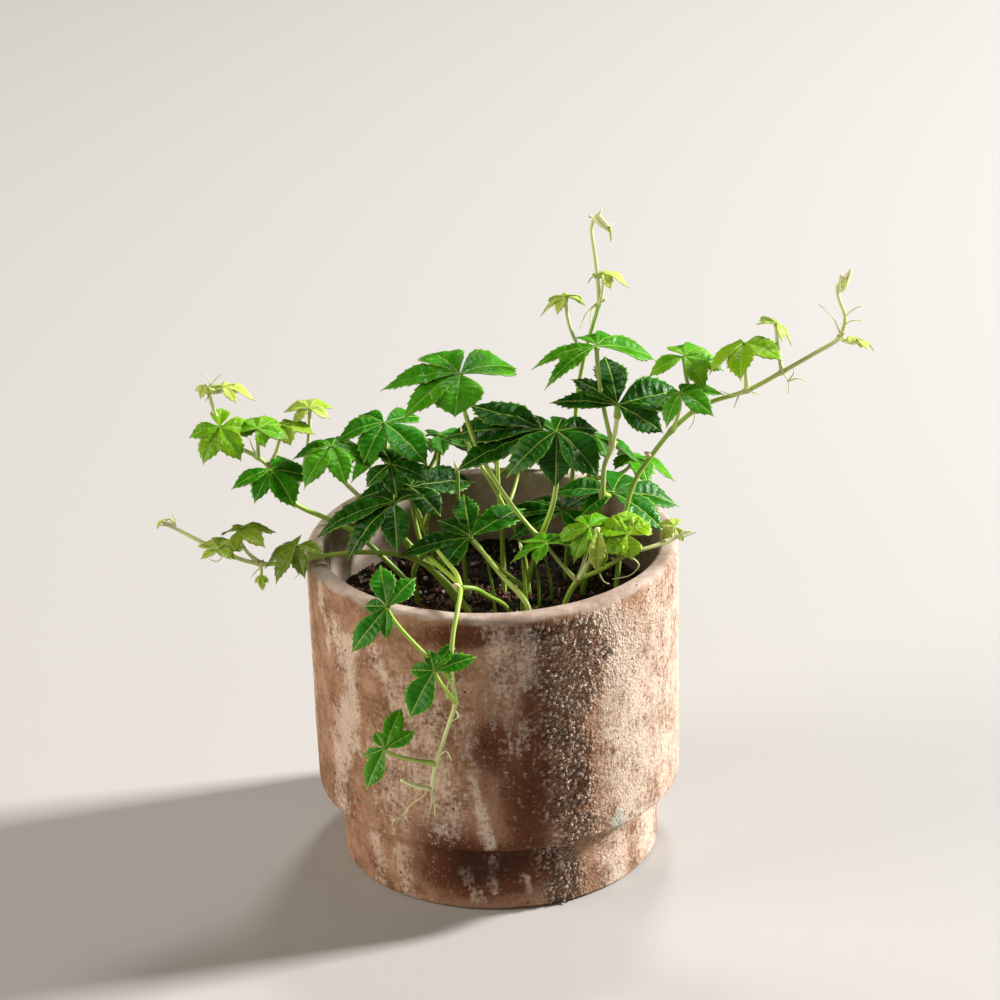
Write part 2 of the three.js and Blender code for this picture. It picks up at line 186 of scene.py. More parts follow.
# runs of lime: bearing and height at the top, at the bottom, half width in millimetres, strength
SALT_RUNS = [
    (-67, 123, -61, 98, 3, 0.9),
    (-58, 112, -50, 84, 4, 0.8),
    (-50, 104, -52, 64, 5, 1.15),
    (-52, 78, -58, 50, 6, 0.95),
    (-58, 70, -59, 34, 6, 0.75),
    (-40, 106, -37, 97, 4, 0.7),
    (-30, 92, -26, 58, 9, 0.62),
    (-36, 66, -33, 42, 9, 0.6),
    (-22, 84, -17, 40, 9, 0.6),
    (-14, 100, -7, 62, 6, 0.4),
    (-9, 62, -6, 48, 2.6, 0.8),
    (-6, 46, -4, 32, 2.2, 1.0),
    (1, 121, 2, 97, 7, 0.65),
    (9, 118, 8, 100, 5, 0.75),
    (2, 96, 6, 70, 9, 0.35),
    (35, 122, 44, 96, 9, 0.95),
    (44, 100, 46, 34, 15, 0.95),
    (49, 76, 53, 46, 8, 1.0),
    (62, 112, 64, 46, 16, 0.8),
    (80, 118, 80, 36, 20, 0.75),
    (17, 34, 29, 31.5, 1.6, 1.3),
    (-14, 16, -9, 5, 3.2, 0.6),
    (-4, 22, -3, 8, 2.6, 0.6),
    (-52, 20, -49, 3, 4, 0.7),
    (-38, 18, -36, 4, 4, 0.6),
    (8, 14, 10, 8, 2, 0.7),
    (22, 20, 24, 6, 4, 0.5),
    (44, 26, 46, 4, 9, 0.95),
    (66, 26, 68, 4, 12, 1.0),
    (112, 118, 118, 60, 8, 0.6),
    (140, 96, 143, 34, 6, 0.65),
    (168, 120, 165, 76, 7, 0.55),
    (-170, 84, -166, 36, 7, 0.6),
    (-140, 118, -137, 62, 8, 0.6),
    (-108, 92, -104, 38, 7, 0.6),
    (98, 104, 101, 44, 11, 0.7),
    (128, 74, 126, 38, 9, 0.55),
    (155, 121, 152, 98, 13, 0.6),
    (180, 64, 177, 33, 9, 0.6),
    (-155, 66, -159, 33, 10, 0.6),
    (-124, 121, -122, 88, 8, 0.65),
    (-88, 119, -85, 62, 11, 0.75),
    (104, 24, 106, 5, 9, 0.7),
    (146, 22, 147, 8, 8, 0.6),
    (-163, 24, -161, 5, 8, 0.6),
    (-96, 22, -94, 5, 8, 0.6),
]
# damp, darker concrete, and painted shade under the lip: bearing, height, half width and half height
# in millimetres, strength
DAMP_AND_SHADE_SPOTS = [
    (9, 44, 11, 22, 1.0),
    (12, 86, 7, 34, 0.75),
    (-2, 72, 9, 10, 0.5),
    (-16, 117, 18, 8, 0.7),
    (-17, 34, 16, 11, 0.9),
    (4, 119, 22, 5, 0.9),
    # painted shade under the lip's overhang, strong enough to darken the foot's front to near black
    (-5, 18, 27, 14, 1.5),
    (-22, 12, 20, 10, 0.3),
    (0, 74, 18, 26, 0.6),
    (150, 50, 22, 16, 0.6),
    (-122, 60, 20, 22, 0.5),
    (172, 100, 14, 22, 0.7),
    (-147, 112, 16, 12, 0.7),
    (112, 62, 10, 26, 0.6),
    (-178, 14, 24, 12, 0.7),
]
# two old stains: bearing, height, half width and half height in millimetres
TEAL_STAIN = (39, 33, 4.2, 6)
RED_STAIN = (-52, 36, 0.7, 1.1)


def arc(across, up, radius, start, end, steps):
    """Points of a rounded corner, from one angle to another in degrees."""
    angles = [math.radians(start + (end - start) * n / steps) for n in range(steps + 1)]
    return [(across + radius * math.cos(a), up + radius * math.sin(a)) for a in angles]


def stepped(corners, row):
    """The straight line from each corner to the next, in steps no longer than a row."""
    line = [Vector(corners[0])]
    for start, end in zip(corners, corners[1:]):
        way = Vector(end) - Vector(start)
        steps = max(1, math.ceil(way.length / row))
        line += [Vector(start) + way * (n + 1) / steps for n in range(steps)]
    return line


def spun(line, columns):
    """A body turned from a line of (radius, height) points, which starts and ends on the axis. One
    slice is turned column by column, and the rest are copies of it, which is far quicker."""
    body = bmesh.new()
    corners = [body.verts.new((across * MM, 0, up * MM)) for across, up in line]
    edges = [body.edges.new(pair) for pair in zip(corners, corners[1:])]
    turn = math.tau / SLICES
    axis = (0, 0, 1)
    bmesh.ops.spin(body, geom=corners + edges, axis=axis, angle=turn, steps=columns // SLICES)
    slice_parts = body.verts[:] + body.edges[:] + body.faces[:]
    rest = math.tau - turn
    bmesh.ops.spin(body, geom=slice_parts, axis=axis, angle=rest, steps=SLICES - 1, use_duplicate=True)
    bmesh.ops.remove_doubles(body, verts=body.verts, dist=0.01 * MM)
    bmesh.ops.recalc_face_normals(body, faces=body.faces)
    return body


def bearing_of(place):
    """The bearing of a place from the front, in degrees, towards the right."""
    return math.degrees(math.atan2(place.x, -place.y))


def bearing_gap(one, other):
    return (one - other + 180) % 360 - 180


def bump(distance):
    """1 at no distance, falling smoothly to 0 at a distance of 1."""
    return (1 - distance * distance) ** 2 if abs(distance) < 1 else 0.0


def run_reach(run):
    """How far to each side of its middle a run of lime spreads, in degrees."""
    spread = math.degrees(1.6 * run[4] / FOOT_RADIUS)
    return spread + abs(bearing_gap(run[2], run[0])) / 2 + 1


def run_middle(run):
    return run[0] + bearing_gap(run[2], run[0]) / 2


runs_near = [
    [run for run in SALT_RUNS if abs(bearing_gap(run_middle(run), turn)) < run_reach(run)]
    for turn in range(360)
]


def salt_at(bearing, place):
    """How much lime lies at a place on the wall, from the runs."""
    most = 0.0
    bearing += SALT_SWAY * noise.noise(place / 9)
    for top_bearing, top, bottom_bearing, bottom, half, strength in runs_near[round(bearing) % 360]:
        share = min(1, max(0, (top - place.z) / (top - bottom)))
        off = bearing_gap(bearing, top_bearing + bearing_gap(bottom_bearing, top_bearing) * share)
        across = math.radians(off) * place.xy.length / half
        beyond = max(0, place.z - top, bottom - place.z) / half
        most = max(most, strength * bump(math.hypot(across, beyond) / 1.6))
    return most


def spot_at(bearing, place, spot):
    """How near a place is to the middle of a spot on the wall, from 0 to 1."""
    across = math.radians(bearing_gap(bearing, spot[0])) * place.xy.length / spot[2]
    return bump(math.hypot(across, (place.z - spot[1]) / spot[3]) / 1.5)


def finish_mesh(body, name, materials):
    """Makes an object of a bmesh at the origin, smooth all over."""
    mesh = bpy.data.meshes.new(name)
    body.to_mesh(mesh)
    body.free()
    mesh.shade_smooth()
    for material in materials:
        mesh.materials.append(material)
    piece = bpy.data.objects.new(name, mesh)
    bpy.context.scene.collection.objects.link(piece)
    return piece


lip_radius = POT_RADIUS - POT_TAPER
foot_edge = [(0, 0)] + arc(FOOT_RADIUS - FOOT_ROUND, FOOT_ROUND, FOOT_ROUND, -90, 0, 4)
lip_edge = arc(lip_radius - EDGE_ROUND, FOOT_HEIGHT + EDGE_ROUND, EDGE_ROUND, -90, 0, 6)
rim_edge = arc(POT_RADIUS - EDGE_ROUND, POT_HEIGHT - EDGE_ROUND, EDGE_ROUND, 0, 90, 6)
inner_edge = arc(CAVITY_RADIUS + FOOT_ROUND, POT_HEIGHT - FOOT_ROUND, FOOT_ROUND, 90, 180, 4)
pot_line = stepped(foot_edge, PLAIN_ROW * 4)
pot_line += stepped([foot_edge[-1], (FOOT_RADIUS, FOOT_HEIGHT)], FOOT_ROW)[1:]
pot_line += stepped([(FOOT_RADIUS, FOOT_HEIGHT), lip_edge[0]], 1.5)[1:]
pot_line += [Vector(corner) for corner in lip_edge[1:]]
pot_line += stepped([lip_edge[-1], rim_edge[0]], WALL_ROW)[1:]
pot_line += [Vector(corner) for corner in rim_edge[1:] + inner_edge]
cavity = [
    inner_edge[-1],
    (CAVITY_RADIUS - CAVITY_TAPER, FOOT_HEIGHT + POT_WALL * 2),
    (CAVITY_FOOT_RADIUS, FOOT_HEIGHT + POT_WALL),
    (CAVITY_FOOT_RADIUS, POT_FLOOR),
    (0, POT_FLOOR),
]
pot_line += stepped(cavity, PLAIN_ROW)[1:]

pot_body = spun(pot_line, POT_COLUMNS)
for corner in pot_body.verts:
    bearing = math.radians(bearing_gap(bearing_of(corner.co), BAND_BEARING))
    closer = CROWDING * math.sin(bearing)
    corner.co.rotate(Quaternion((0, 0, 1), -closer))
pot_body.normal_update()

MARKS = ("salt", "damp_and_shade", "rough", "grainy", "teal", "red", "inner")
salt, damp_and_shade, rough, grainy, teal, red, inner = [pot_body.verts.layers.float.new(name) for name in MARKS]
for corner in pot_body.verts:
    place = corner.co / MM
    bearing = bearing_of(place)
    facing_in = corner.normal.dot(Vector((place.x, place.y, 0))) < -1 or place.xy.length < 1
    if place.z > POT_FLOOR - 1 and facing_in:
        corner[inner] = 1.0
        # painted shade: the inside is darkened on the side that gets no light
        below_edge = min(1, max(0, (POT_HEIGHT - 3 - place.z) / 9))
        corner[damp_and_shade] = DAMP_AND_SHADE_MOST * bump(bearing_gap(bearing, SHADED_SIDE) / SHADE_REACH) * below_edge
        corner.co += corner.normal * 0.25 * MM * noise.noise(place / 14)
        continue
    worn = POT_HEIGHT - WORN_DEPTH + 1.6 * noise.noise(place / 7)
    corner[inner] = min(1.0, max(0.0, (place.z - worn) / 1.2))
    if place.z < 0.5:
        continue
    corner[salt] = salt_at(bearing, place)
    corner[damp_and_shade] = min(DAMP_AND_SHADE_MOST, sum(spot[4] * spot_at(bearing, place, spot) for spot in DAMP_AND_SHADE_SPOTS))
    corner[teal] = spot_at(bearing, place, TEAL_STAIN)
    corner[red] = spot_at(bearing, place, RED_STAIN)
    edge_sway = 6 * noise.noise(Vector((0, 3, place.z / 14)))
    band_half = BAND_HALF + 6 * bump((place.z - 112) / 34)
    off_band = abs(bearing_gap(bearing, BAND_BEARING + edge_sway)) / band_half
    band = min(1, 1.5 * bump(off_band / 1.5)) if place.xy.length > FOOT_RADIUS - 1 else 0
    top_right = bump(math.hypot(bearing_gap(bearing, 44) / 30, (place.z - 108) / 26))
    sandy_side = bump(bearing_gap(bearing, 58) / 46)
    below_rim = min(1, max(0, (POT_HEIGHT - 2.5 - place.z) / 3))
    band = min(1, band + 0.22 * top_right + 0.05 * sandy_side) * below_rim
    corner[rough] = band
    rise = WALL_WAVE * noise.noise(place / 22) + WALL_RIPPLE * noise.noise(place / 5)
    rise += SALT_CRUST * corner[salt] * (0.5 + noise.noise(place / 2.2))
    if band > 0.02:
        near = noise.voronoi(place / GRAIN_SIZE)[0][0]
        grain = max(0, 1 - 2.1 * near)
        patchy = 0.75 + 1.1 * noise.noise(place / 4.5)
        corner[grainy] = band * min(1, 2.2 * grain)
        rise += band * GRAIN_RISE * grain * max(0.15, patchy)
        rise += band * 0.45 * noise.noise(place / 3.1)
    corner.co += corner.normal * rise * MM

# the sizes of the concrete's patterns in millimetres, some of them drawn coarser than they are so that
# they show, and how much a run of lime is squeezed along its height to draw it out
SAND_GRAIN = 0.9
SPECKLE = 1.7
MOTTLE = 12
RUN_WIDTH = 1.9
RUN_STRETCH = 0.17
PIT_SPACING = 9
GRAIN_WIDTH = 1.05

# sandy cast concrete: matt and dry, brown where it stays damp, with pale and dark grains in its skin
# and a powdery bloom of lime in vertical runs. Its colour also holds painted shade: inside on the
# unlit side, under the lip, in the pits and between the rough band's grains, and painted light on
# those grains' pale tops
concrete = blank("cast_concrete")
per_metre = 1 / MM
where = add(concrete, "TexCoord").outputs["Object"]
drawn = add(concrete, "Mapping", {"Vector": where, "Scale": (1, 1, RUN_STRETCH)})
# each noise: where it is read, the size of its blots in millimetres, its detail and its roughness
sand, speckle, mottle, runs = [
    add(concrete, "TexNoise", {"Vector": at, "Scale": per_metre / size, "Detail": detail, "Roughness": fine})
    for at, size, detail, fine in (
        (where, SAND_GRAIN, 2.0, 0.5), (where, SPECKLE, 4.0, 0.7),
        (where, MOTTLE, 6.0, 0.7), (drawn, RUN_WIDTH, 5.0, 0.72),
    )
]
pits, cells = [
    add(concrete, "TexVoronoi", {"Vector": where, "Scale": per_metre / size, "Randomness": 1.0})
    for size in (PIT_SPACING, GRAIN_WIDTH)
]
salt_here, damp_and_shade_here, rough_here, grain_here, teal_here, red_here, inner_here = [
    add(concrete, "Attribute", attribute_name=name).outputs["Fac"] for name in MARKS
]

cloud = add(
    concrete,
    "MapRange",
    {"Value": mottle, "From Min": 0.36, "From Max": 0.6, "To Min": 0.5, "To Max": 0.95},
)
damp_texture = add(concrete, "Math", {0: speckle, 1: 1.0, 2: mottle}, operation="MULTIPLY_ADD")
damp_and_shade_edge = add(concrete, "Math", {0: damp_texture, 1: 1.4, 2: damp_and_shade_here}, operation="MULTIPLY_ADD")
salt_speckle = add(concrete, "Math", {0: speckle, 1: 1.9}, operation="MULTIPLY")
salt_texture = add(concrete, "Math", {0: runs, 1: 1.1, 2: salt_speckle}, operation="MULTIPLY_ADD")
salt_cloud = add(concrete, "Math", {0: salt_here, 1: cloud}, operation="MULTIPLY")
salt_level = add(concrete, "Math", {0: salt_cloud, 1: salt_texture}, operation="ADD")
teal_edge = add(concrete, "Math", {0: teal_here, 1: speckle}, operation="MULTIPLY")

# each share: what it follows, the low and the high end of that, and the share at both ends
share = {
    name: add(
        concrete,
        "MapRange",
        {"Value": source, "From Min": low, "From Max": high, "To Min": at_low, "To Max": at_high},
    )
    for name, source, low, high, at_low, at_high in (
        ("body", mottle, 0.36, 0.66, 0.0, 1.0),
        ("pale grain", speckle, 0.56, 0.72, 0.0, 0.3),
        ("dark grain", speckle, 0.3, 0.44, 0.5, 0.0),
        ("damp_and_shade", damp_and_shade_edge, 1.68, 2.18, 0.0, 0.92),
        ("soaked and shaded", damp_and_shade_here, 1.0, 1.5, 0.0, 0.7),
        ("salt", salt_level, 1.66, 2.24, 0.0, 0.64),
        ("teal", teal_edge, 0.12, 0.5, 0.0, 0.6),
        ("lime", mottle, 0.35, 0.6, 0.0, 1.0),
        ("gap", cells, 0.42, 0.66, 0.0, 0.6),
        ("shaded pit", pits, 0.04, 0.065, 0.85, 0.0),
        ("dome", cells, 0.15, 0.75, 0.8, 0.0),
        ("coarse", rough_here, 0.0, 1.0, 0.12, 1.6),
        ("worn smooth", inner_here, 0.0, 1.0, 1.0, 0.4),
    )
}
# the grains' tops are pale with lime and with painted light where the raking light catches them
lime_and_lit_grain_tops = add(concrete, "Math", {0: grain_here, 1: 0.9}, operation="MULTIPLY")
# painted shade in the hollows between the rough band's grains
rough_gap = add(concrete, "Math", {0: share["gap"], 1: rough_here}, operation="MULTIPLY")
lime = add(
    concrete, "Mix", {0: share["lime"], 6: linear("#9a8473"), 7: linear("#c4b2a3")}, data_type="RGBA"
)
tone = add(
    concrete, "Mix", {0: share["body"], 6: linear("#825d44"), 7: linear("#bc9578")}, data_type="RGBA"
)
# the colours that lie over the body's own, from the lowest to the top one
for cover, colour in (
    (share["pale grain"], linear("#cdb49c")),
    # the brown of damp, which also carries painted shade inside on the unlit side and under the lip
    (share["damp_and_shade"], linear("#5c3018")),
    (share["salt"], linear("#e6d5c3")),
    (share["dark grain"], linear("#4d3323")),
    (share["teal"], linear("#bccabd")),
    (red_here, linear("#a8321f")),
    (inner_here, lime),
    (lime_and_lit_grain_tops, linear("#f0dcc8")),
    # painted shade between the grains
    (rough_gap, linear("#3a2114")),
    # painted shade: near black where damp and shade count past 1, mostly under the lip and inside on the
    # unlit side
    (share["soaked and shaded"], linear("#2a160c")),
    # painted shade: near black inside the pits
    (share["shaded pit"], linear("#22170f")),
):
    tone = add(concrete, "Mix", {0: cover, 6: tone, 7: colour}, data_type="RGBA")

domed = add(concrete, "Math", {0: share["dome"], 1: share["coarse"]}, operation="MULTIPLY")
sanded = add(concrete, "Math", {0: sand, 1: speckle}, operation="ADD")
relief = add(concrete, "Math", {0: sanded, 1: 0.5, 2: domed}, operation="MULTIPLY_ADD")
grit_height = add(concrete, "Math", {0: relief, 1: share["worn smooth"]}, operation="MULTIPLY")
pit_depth = add(concrete, "Math", {0: grit_height, 1: share["shaded pit"]}, operation="SUBTRACT")
grit = add(concrete, "Bump", {"Height": pit_depth, "Strength": 0.9, "Distance": 0.8 * MM})
concrete_face = add(
    concrete,
    "BsdfPrincipled",
    {"Base Color": tone, "Roughness": 0.88, "Specular IOR Level": 0.2, "Normal": grit},
)
add(concrete, "OutputMaterial", {"Surface": concrete_face})

pot = finish_mesh(pot_body, "pot_casting", [concrete])
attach(pot, "root")
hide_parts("pot")


# The soil: a peat and bark mix that fills the pot to below its rim and has sunk a little unevenly.
# Bark crumbs, fibre and white perlite lie in its surface, half buried.
SOIL_TOP = 97
SOIL_GAP = 0.3
# the lumps' height in millimetres, and their waves in radians per millimetre
SOIL_LUMP = 1.1
LUMP_X = 0.21
LUMP_Y = 0.17
LUMP_SLANT = 0.31
SOIL_COLUMNS = 160
SOIL_ROW = 1.5
# how many crumbs of bark and grains of perlite there are
CRUMBS = 2200
PERLITE = 130
SOIL_SEED = 11
BATCH = 100


def soil_height(x, y):
    broad = math.sin(x * LUMP_X + 1) * math.cos(y * LUMP_Y)
    small = math.sin((x + 2 * y) * LUMP_SLANT) / 2
    clods = noise.noise(Vector((x, y, 0)) / 6) + 0.5 * noise.noise(Vector((x, y, 9)) / 2.4)
    return SOIL_TOP + SOIL_LUMP * (broad + small) + 1.1 * clods


soil_radius = CAVITY_RADIUS - CAVITY_TAPER - SOIL_GAP
soil_corners = [
    (0, POT_FLOOR + SOIL_GAP),
    (CAVITY_FOOT_RADIUS - SOIL_GAP, POT_FLOOR + SOIL_GAP),
    (CAVITY_FOOT_RADIUS - SOIL_GAP, FOOT_HEIGHT + POT_WALL + SOIL_GAP),
    (soil_radius, FOOT_HEIGHT + POT_WALL * 2 + SOIL_GAP),
    (soil_radius, SOIL_TOP),
]
soil_line = stepped(soil_corners, 12) + stepped([(soil_radius, SOIL_TOP), (0, SOIL_TOP)], SOIL_ROW)[1:]
soil_body = spun(soil_line, SOIL_COLUMNS)
for corner in soil_body.verts:
    if corner.co.z > (SOIL_TOP - 1) * MM:
        corner.co.z = soil_height(corner.co.x / MM, corner.co.y / MM) * MM

dice = random.Random(SOIL_SEED)
kinds = [1] * CRUMBS + [2] * PERLITE
# the crumbs are made a batch at a time, because each new one takes longer in a large mesh
for first in range(0, len(kinds), BATCH):
    batch = bmesh.new()
    for kind in kinds[first : first + BATCH]:
        distance = soil_radius * math.sqrt(dice.random()) - 1.5
        bearing = dice.uniform(0, math.tau)
        x, y = distance * math.cos(bearing), distance * math.sin(bearing)
        size = dice.uniform(0.35, 1.1) if kind == 1 else dice.uniform(0.4, 1.0)
        stretch = dice.uniform(1, 2.2) if kind == 1 else dice.uniform(1, 1.3)
        spin = Quaternion((dice.gauss(0, 1), dice.gauss(0, 1), dice.gauss(0, 1), 1)).normalized()
        place = Matrix.Translation(Vector((x, y, soil_height(x, y) + size * 0.25)) * MM)
        shape = Matrix.Diagonal((size * stretch * MM, size * MM, size * 0.7 * MM, 1))
        made = bmesh.ops.create_icosphere(
            batch, subdivisions=1, radius=1, matrix=place @ spin.to_matrix().to_4x4() @ shape
        )
        for corner in made["verts"]:
            corner.co += Vector([dice.uniform(-0.16, 0.16) * size * MM for _ in range(3)])
        for face in {face for corner in made["verts"] for face in corner.link_faces}:
            face.material_index = kind
    crumbs = bpy.data.meshes.new("crumbs")
    batch.to_mesh(crumbs)
    batch.free()
    soil_body.from_mesh(crumbs)
    bpy.data.meshes.remove(crumbs)

# peat: nearly black, open and matt, with brown fibres in it
peat = blank("peat_soil")
where = add(peat, "TexCoord").outputs["Object"]
fibre = add(peat, "TexNoise", {"Vector": where, "Scale": per_metre / 2.5, "Detail": 6.0, "Roughness": 0.75})
peat_tone = add(peat, "MapRange", {"Value": fibre, "From Min": 0.42, "From Max": 0.72})
peat_colour = add(
    peat, "Mix", {0: peat_tone, 6: linear("#0c0805"), 7: linear("#2c1b12")}, data_type="RGBA"
)
peat_bump = add(peat, "Bump", {"Height": fibre, "Strength": 0.8, "Distance": MM})
peat_face = add(peat, "BsdfPrincipled", {"Base Color": peat_colour, "Roughness": 0.95, "Normal": peat_bump})
add(peat, "OutputMaterial", {"Surface": peat_face})

# bark crumbs are reddish brown wood, dull, each a little lighter or darker. Perlite is puffed volcanic
# glass, white and chalky. Each has blots of a size in millimetres, with their detail, the ends of
# their range, a dark and a light colour, and a roughness.
bark, perlite = [blank(name) for name in ("bark_crumb", "perlite")]
for stuff, blot, detail, low, high, dark, light, dull in (
    (bark, 3.2, 3.0, 0.4, 0.66, "#120c08", "#86573c", 0.8),
    (perlite, 0.6, 2.0, 0.3, 0.6, "#b9ab98", "#f0ebe0", 0.7),
):
    where = add(stuff, "TexCoord").outputs["Object"]
    blots = add(stuff, "TexNoise", {"Vector": where, "Scale": per_metre / blot, "Detail": detail})
    depth = add(stuff, "MapRange", {"Value": blots, "From Min": low, "From Max": high})
    colour = add(stuff, "Mix", {0: depth, 6: linear(dark), 7: linear(light)}, data_type="RGBA")
    face = add(stuff, "BsdfPrincipled", {"Base Color": colour, "Roughness": dull})
    add(stuff, "OutputMaterial", {"Surface": face})

soil = finish_mesh(soil_body, "soil_surface", [peat, bark, perlite])
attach(soil, "root")
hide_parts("soil")


# The leafy stems: each grows out of the soil as one body with its petioles, its five-leaflet leaves,
# the scales and buds at its joints and the tendrils opposite its leaves.
# lengths are in millimetres, and a ROW is the step along a stem or petiole
ROOT_DEPTH = 10
STEM_SIDES = 10
STEM_ROW = 2.2
JOINT_SWELL = 0.5
JOINT_LENGTH = 2.4
PETIOLE_SIDES = 8
PETIOLE_RADIUS = 0.55
PETIOLE_GAIN = 0.012
PETIOLE_RISE = 0.45
PETIOLE_ROW = 2.5
PETIOLE_FLARE = 0.7
# a leaf whose leaflets are no longer than TINY_LEAF has a TINY_PETIOLE, and one that sits nearer to
# its stem than SITTING has none
TINY_LEAF = 7
TINY_PETIOLE = 0.4
SITTING = 3
TENDRIL_RADIUS = 0.28
TENDRIL_SIDES = 6
THREAD_RADIUS = 0.25
THREAD_YOUTH = 0.9
# half a leaflet's width as a share of its length, and the share of the room between its neighbours
# that it may fill, where a gap counts as at most WIDE_GAP degrees
HALF_WIDTH = 0.26
ROOM = 0.5
WIDE_GAP = 100
WIDER = 1.12
# how much a blade is folded up along its rib
FOLD = 0.35
BLADE_THICKNESS = 0.3
TOOTH_ROWS = 4
BASE_ROWS = 6
TOOTHLESS = 0.14
# how far each row of a tooth stands out of the margin, as a share of the tooth
TOOTH_STEPS = (0.0, 0.2, 0.4, 1.15)
# a tooth's size, and what it and the quilting between the veins gain with a leaflet's length
TOOTH = 0.22
TOOTH_GAIN = 0.022
QUILT_GAIN = 0.009
BLADE_COLUMNS = 14
# how much higher the next leaflet lies at the hub
LEAFLET_STEP = 0.3
# how far the rows sweep forward to follow the side veins, and a leaflet's twist in degrees
FORWARD = 0.27
PINWHEEL = 8
# the height and the size of the blisters between the veins
BLISTER = 0.55
BLISTER_SIZE = 3.4
# how stout a bud and a folded growing tip are: half their width as a share of their length
BUD_STOUT = 0.32
TIP_STOUT = 0.17
# how steeply a bud or a scale stands up in degrees, and a scale's length against its stem's radius
SCALE_RISE = 35
SCALE_LENGTH = 1.9
# the leaflets' turn from the middle one in degrees, and their share of its length
PALM = [(0, 1), (58, 0.92), (-58, 0.92), (116, 0.66), (-116, 0.66)]

# Each shoot: its stem's radius, the route of its stem from the soil up, and its leaves. A leaf
# springs from point `joint` of the route. `hub` is where its leaflets meet, and `lean` the heading
# and the angle by which its face tips over. `fingers` lists each leaflet's heading and length, with
# its breadth if that isn't 1, and `palm` makes the list of a leaf of the plain pattern. `droop` is a
# tip's fall as a share of its length, `rise` is how far a petiole bends up, as a share of its
# length, and `youth` runs from 0, old and dark, to 1, just opened. A stub is a bare side stem, given
# by its radius, its youth and its route, and a thread is a dry one.
def leaf_at(joint, hub, fingers, lean=(270, 15), droop=0.3, youth=0.0, **more):
    return dict(joint=joint, hub=hub, fingers=fingers, lean=lean, droop=droop, youth=youth, **more)


def palm(heading, size):
    """The heading and length of each leaflet of a leaf of the plain pattern."""
    return [((heading + turn) % 360, size * share) for turn, share in PALM]


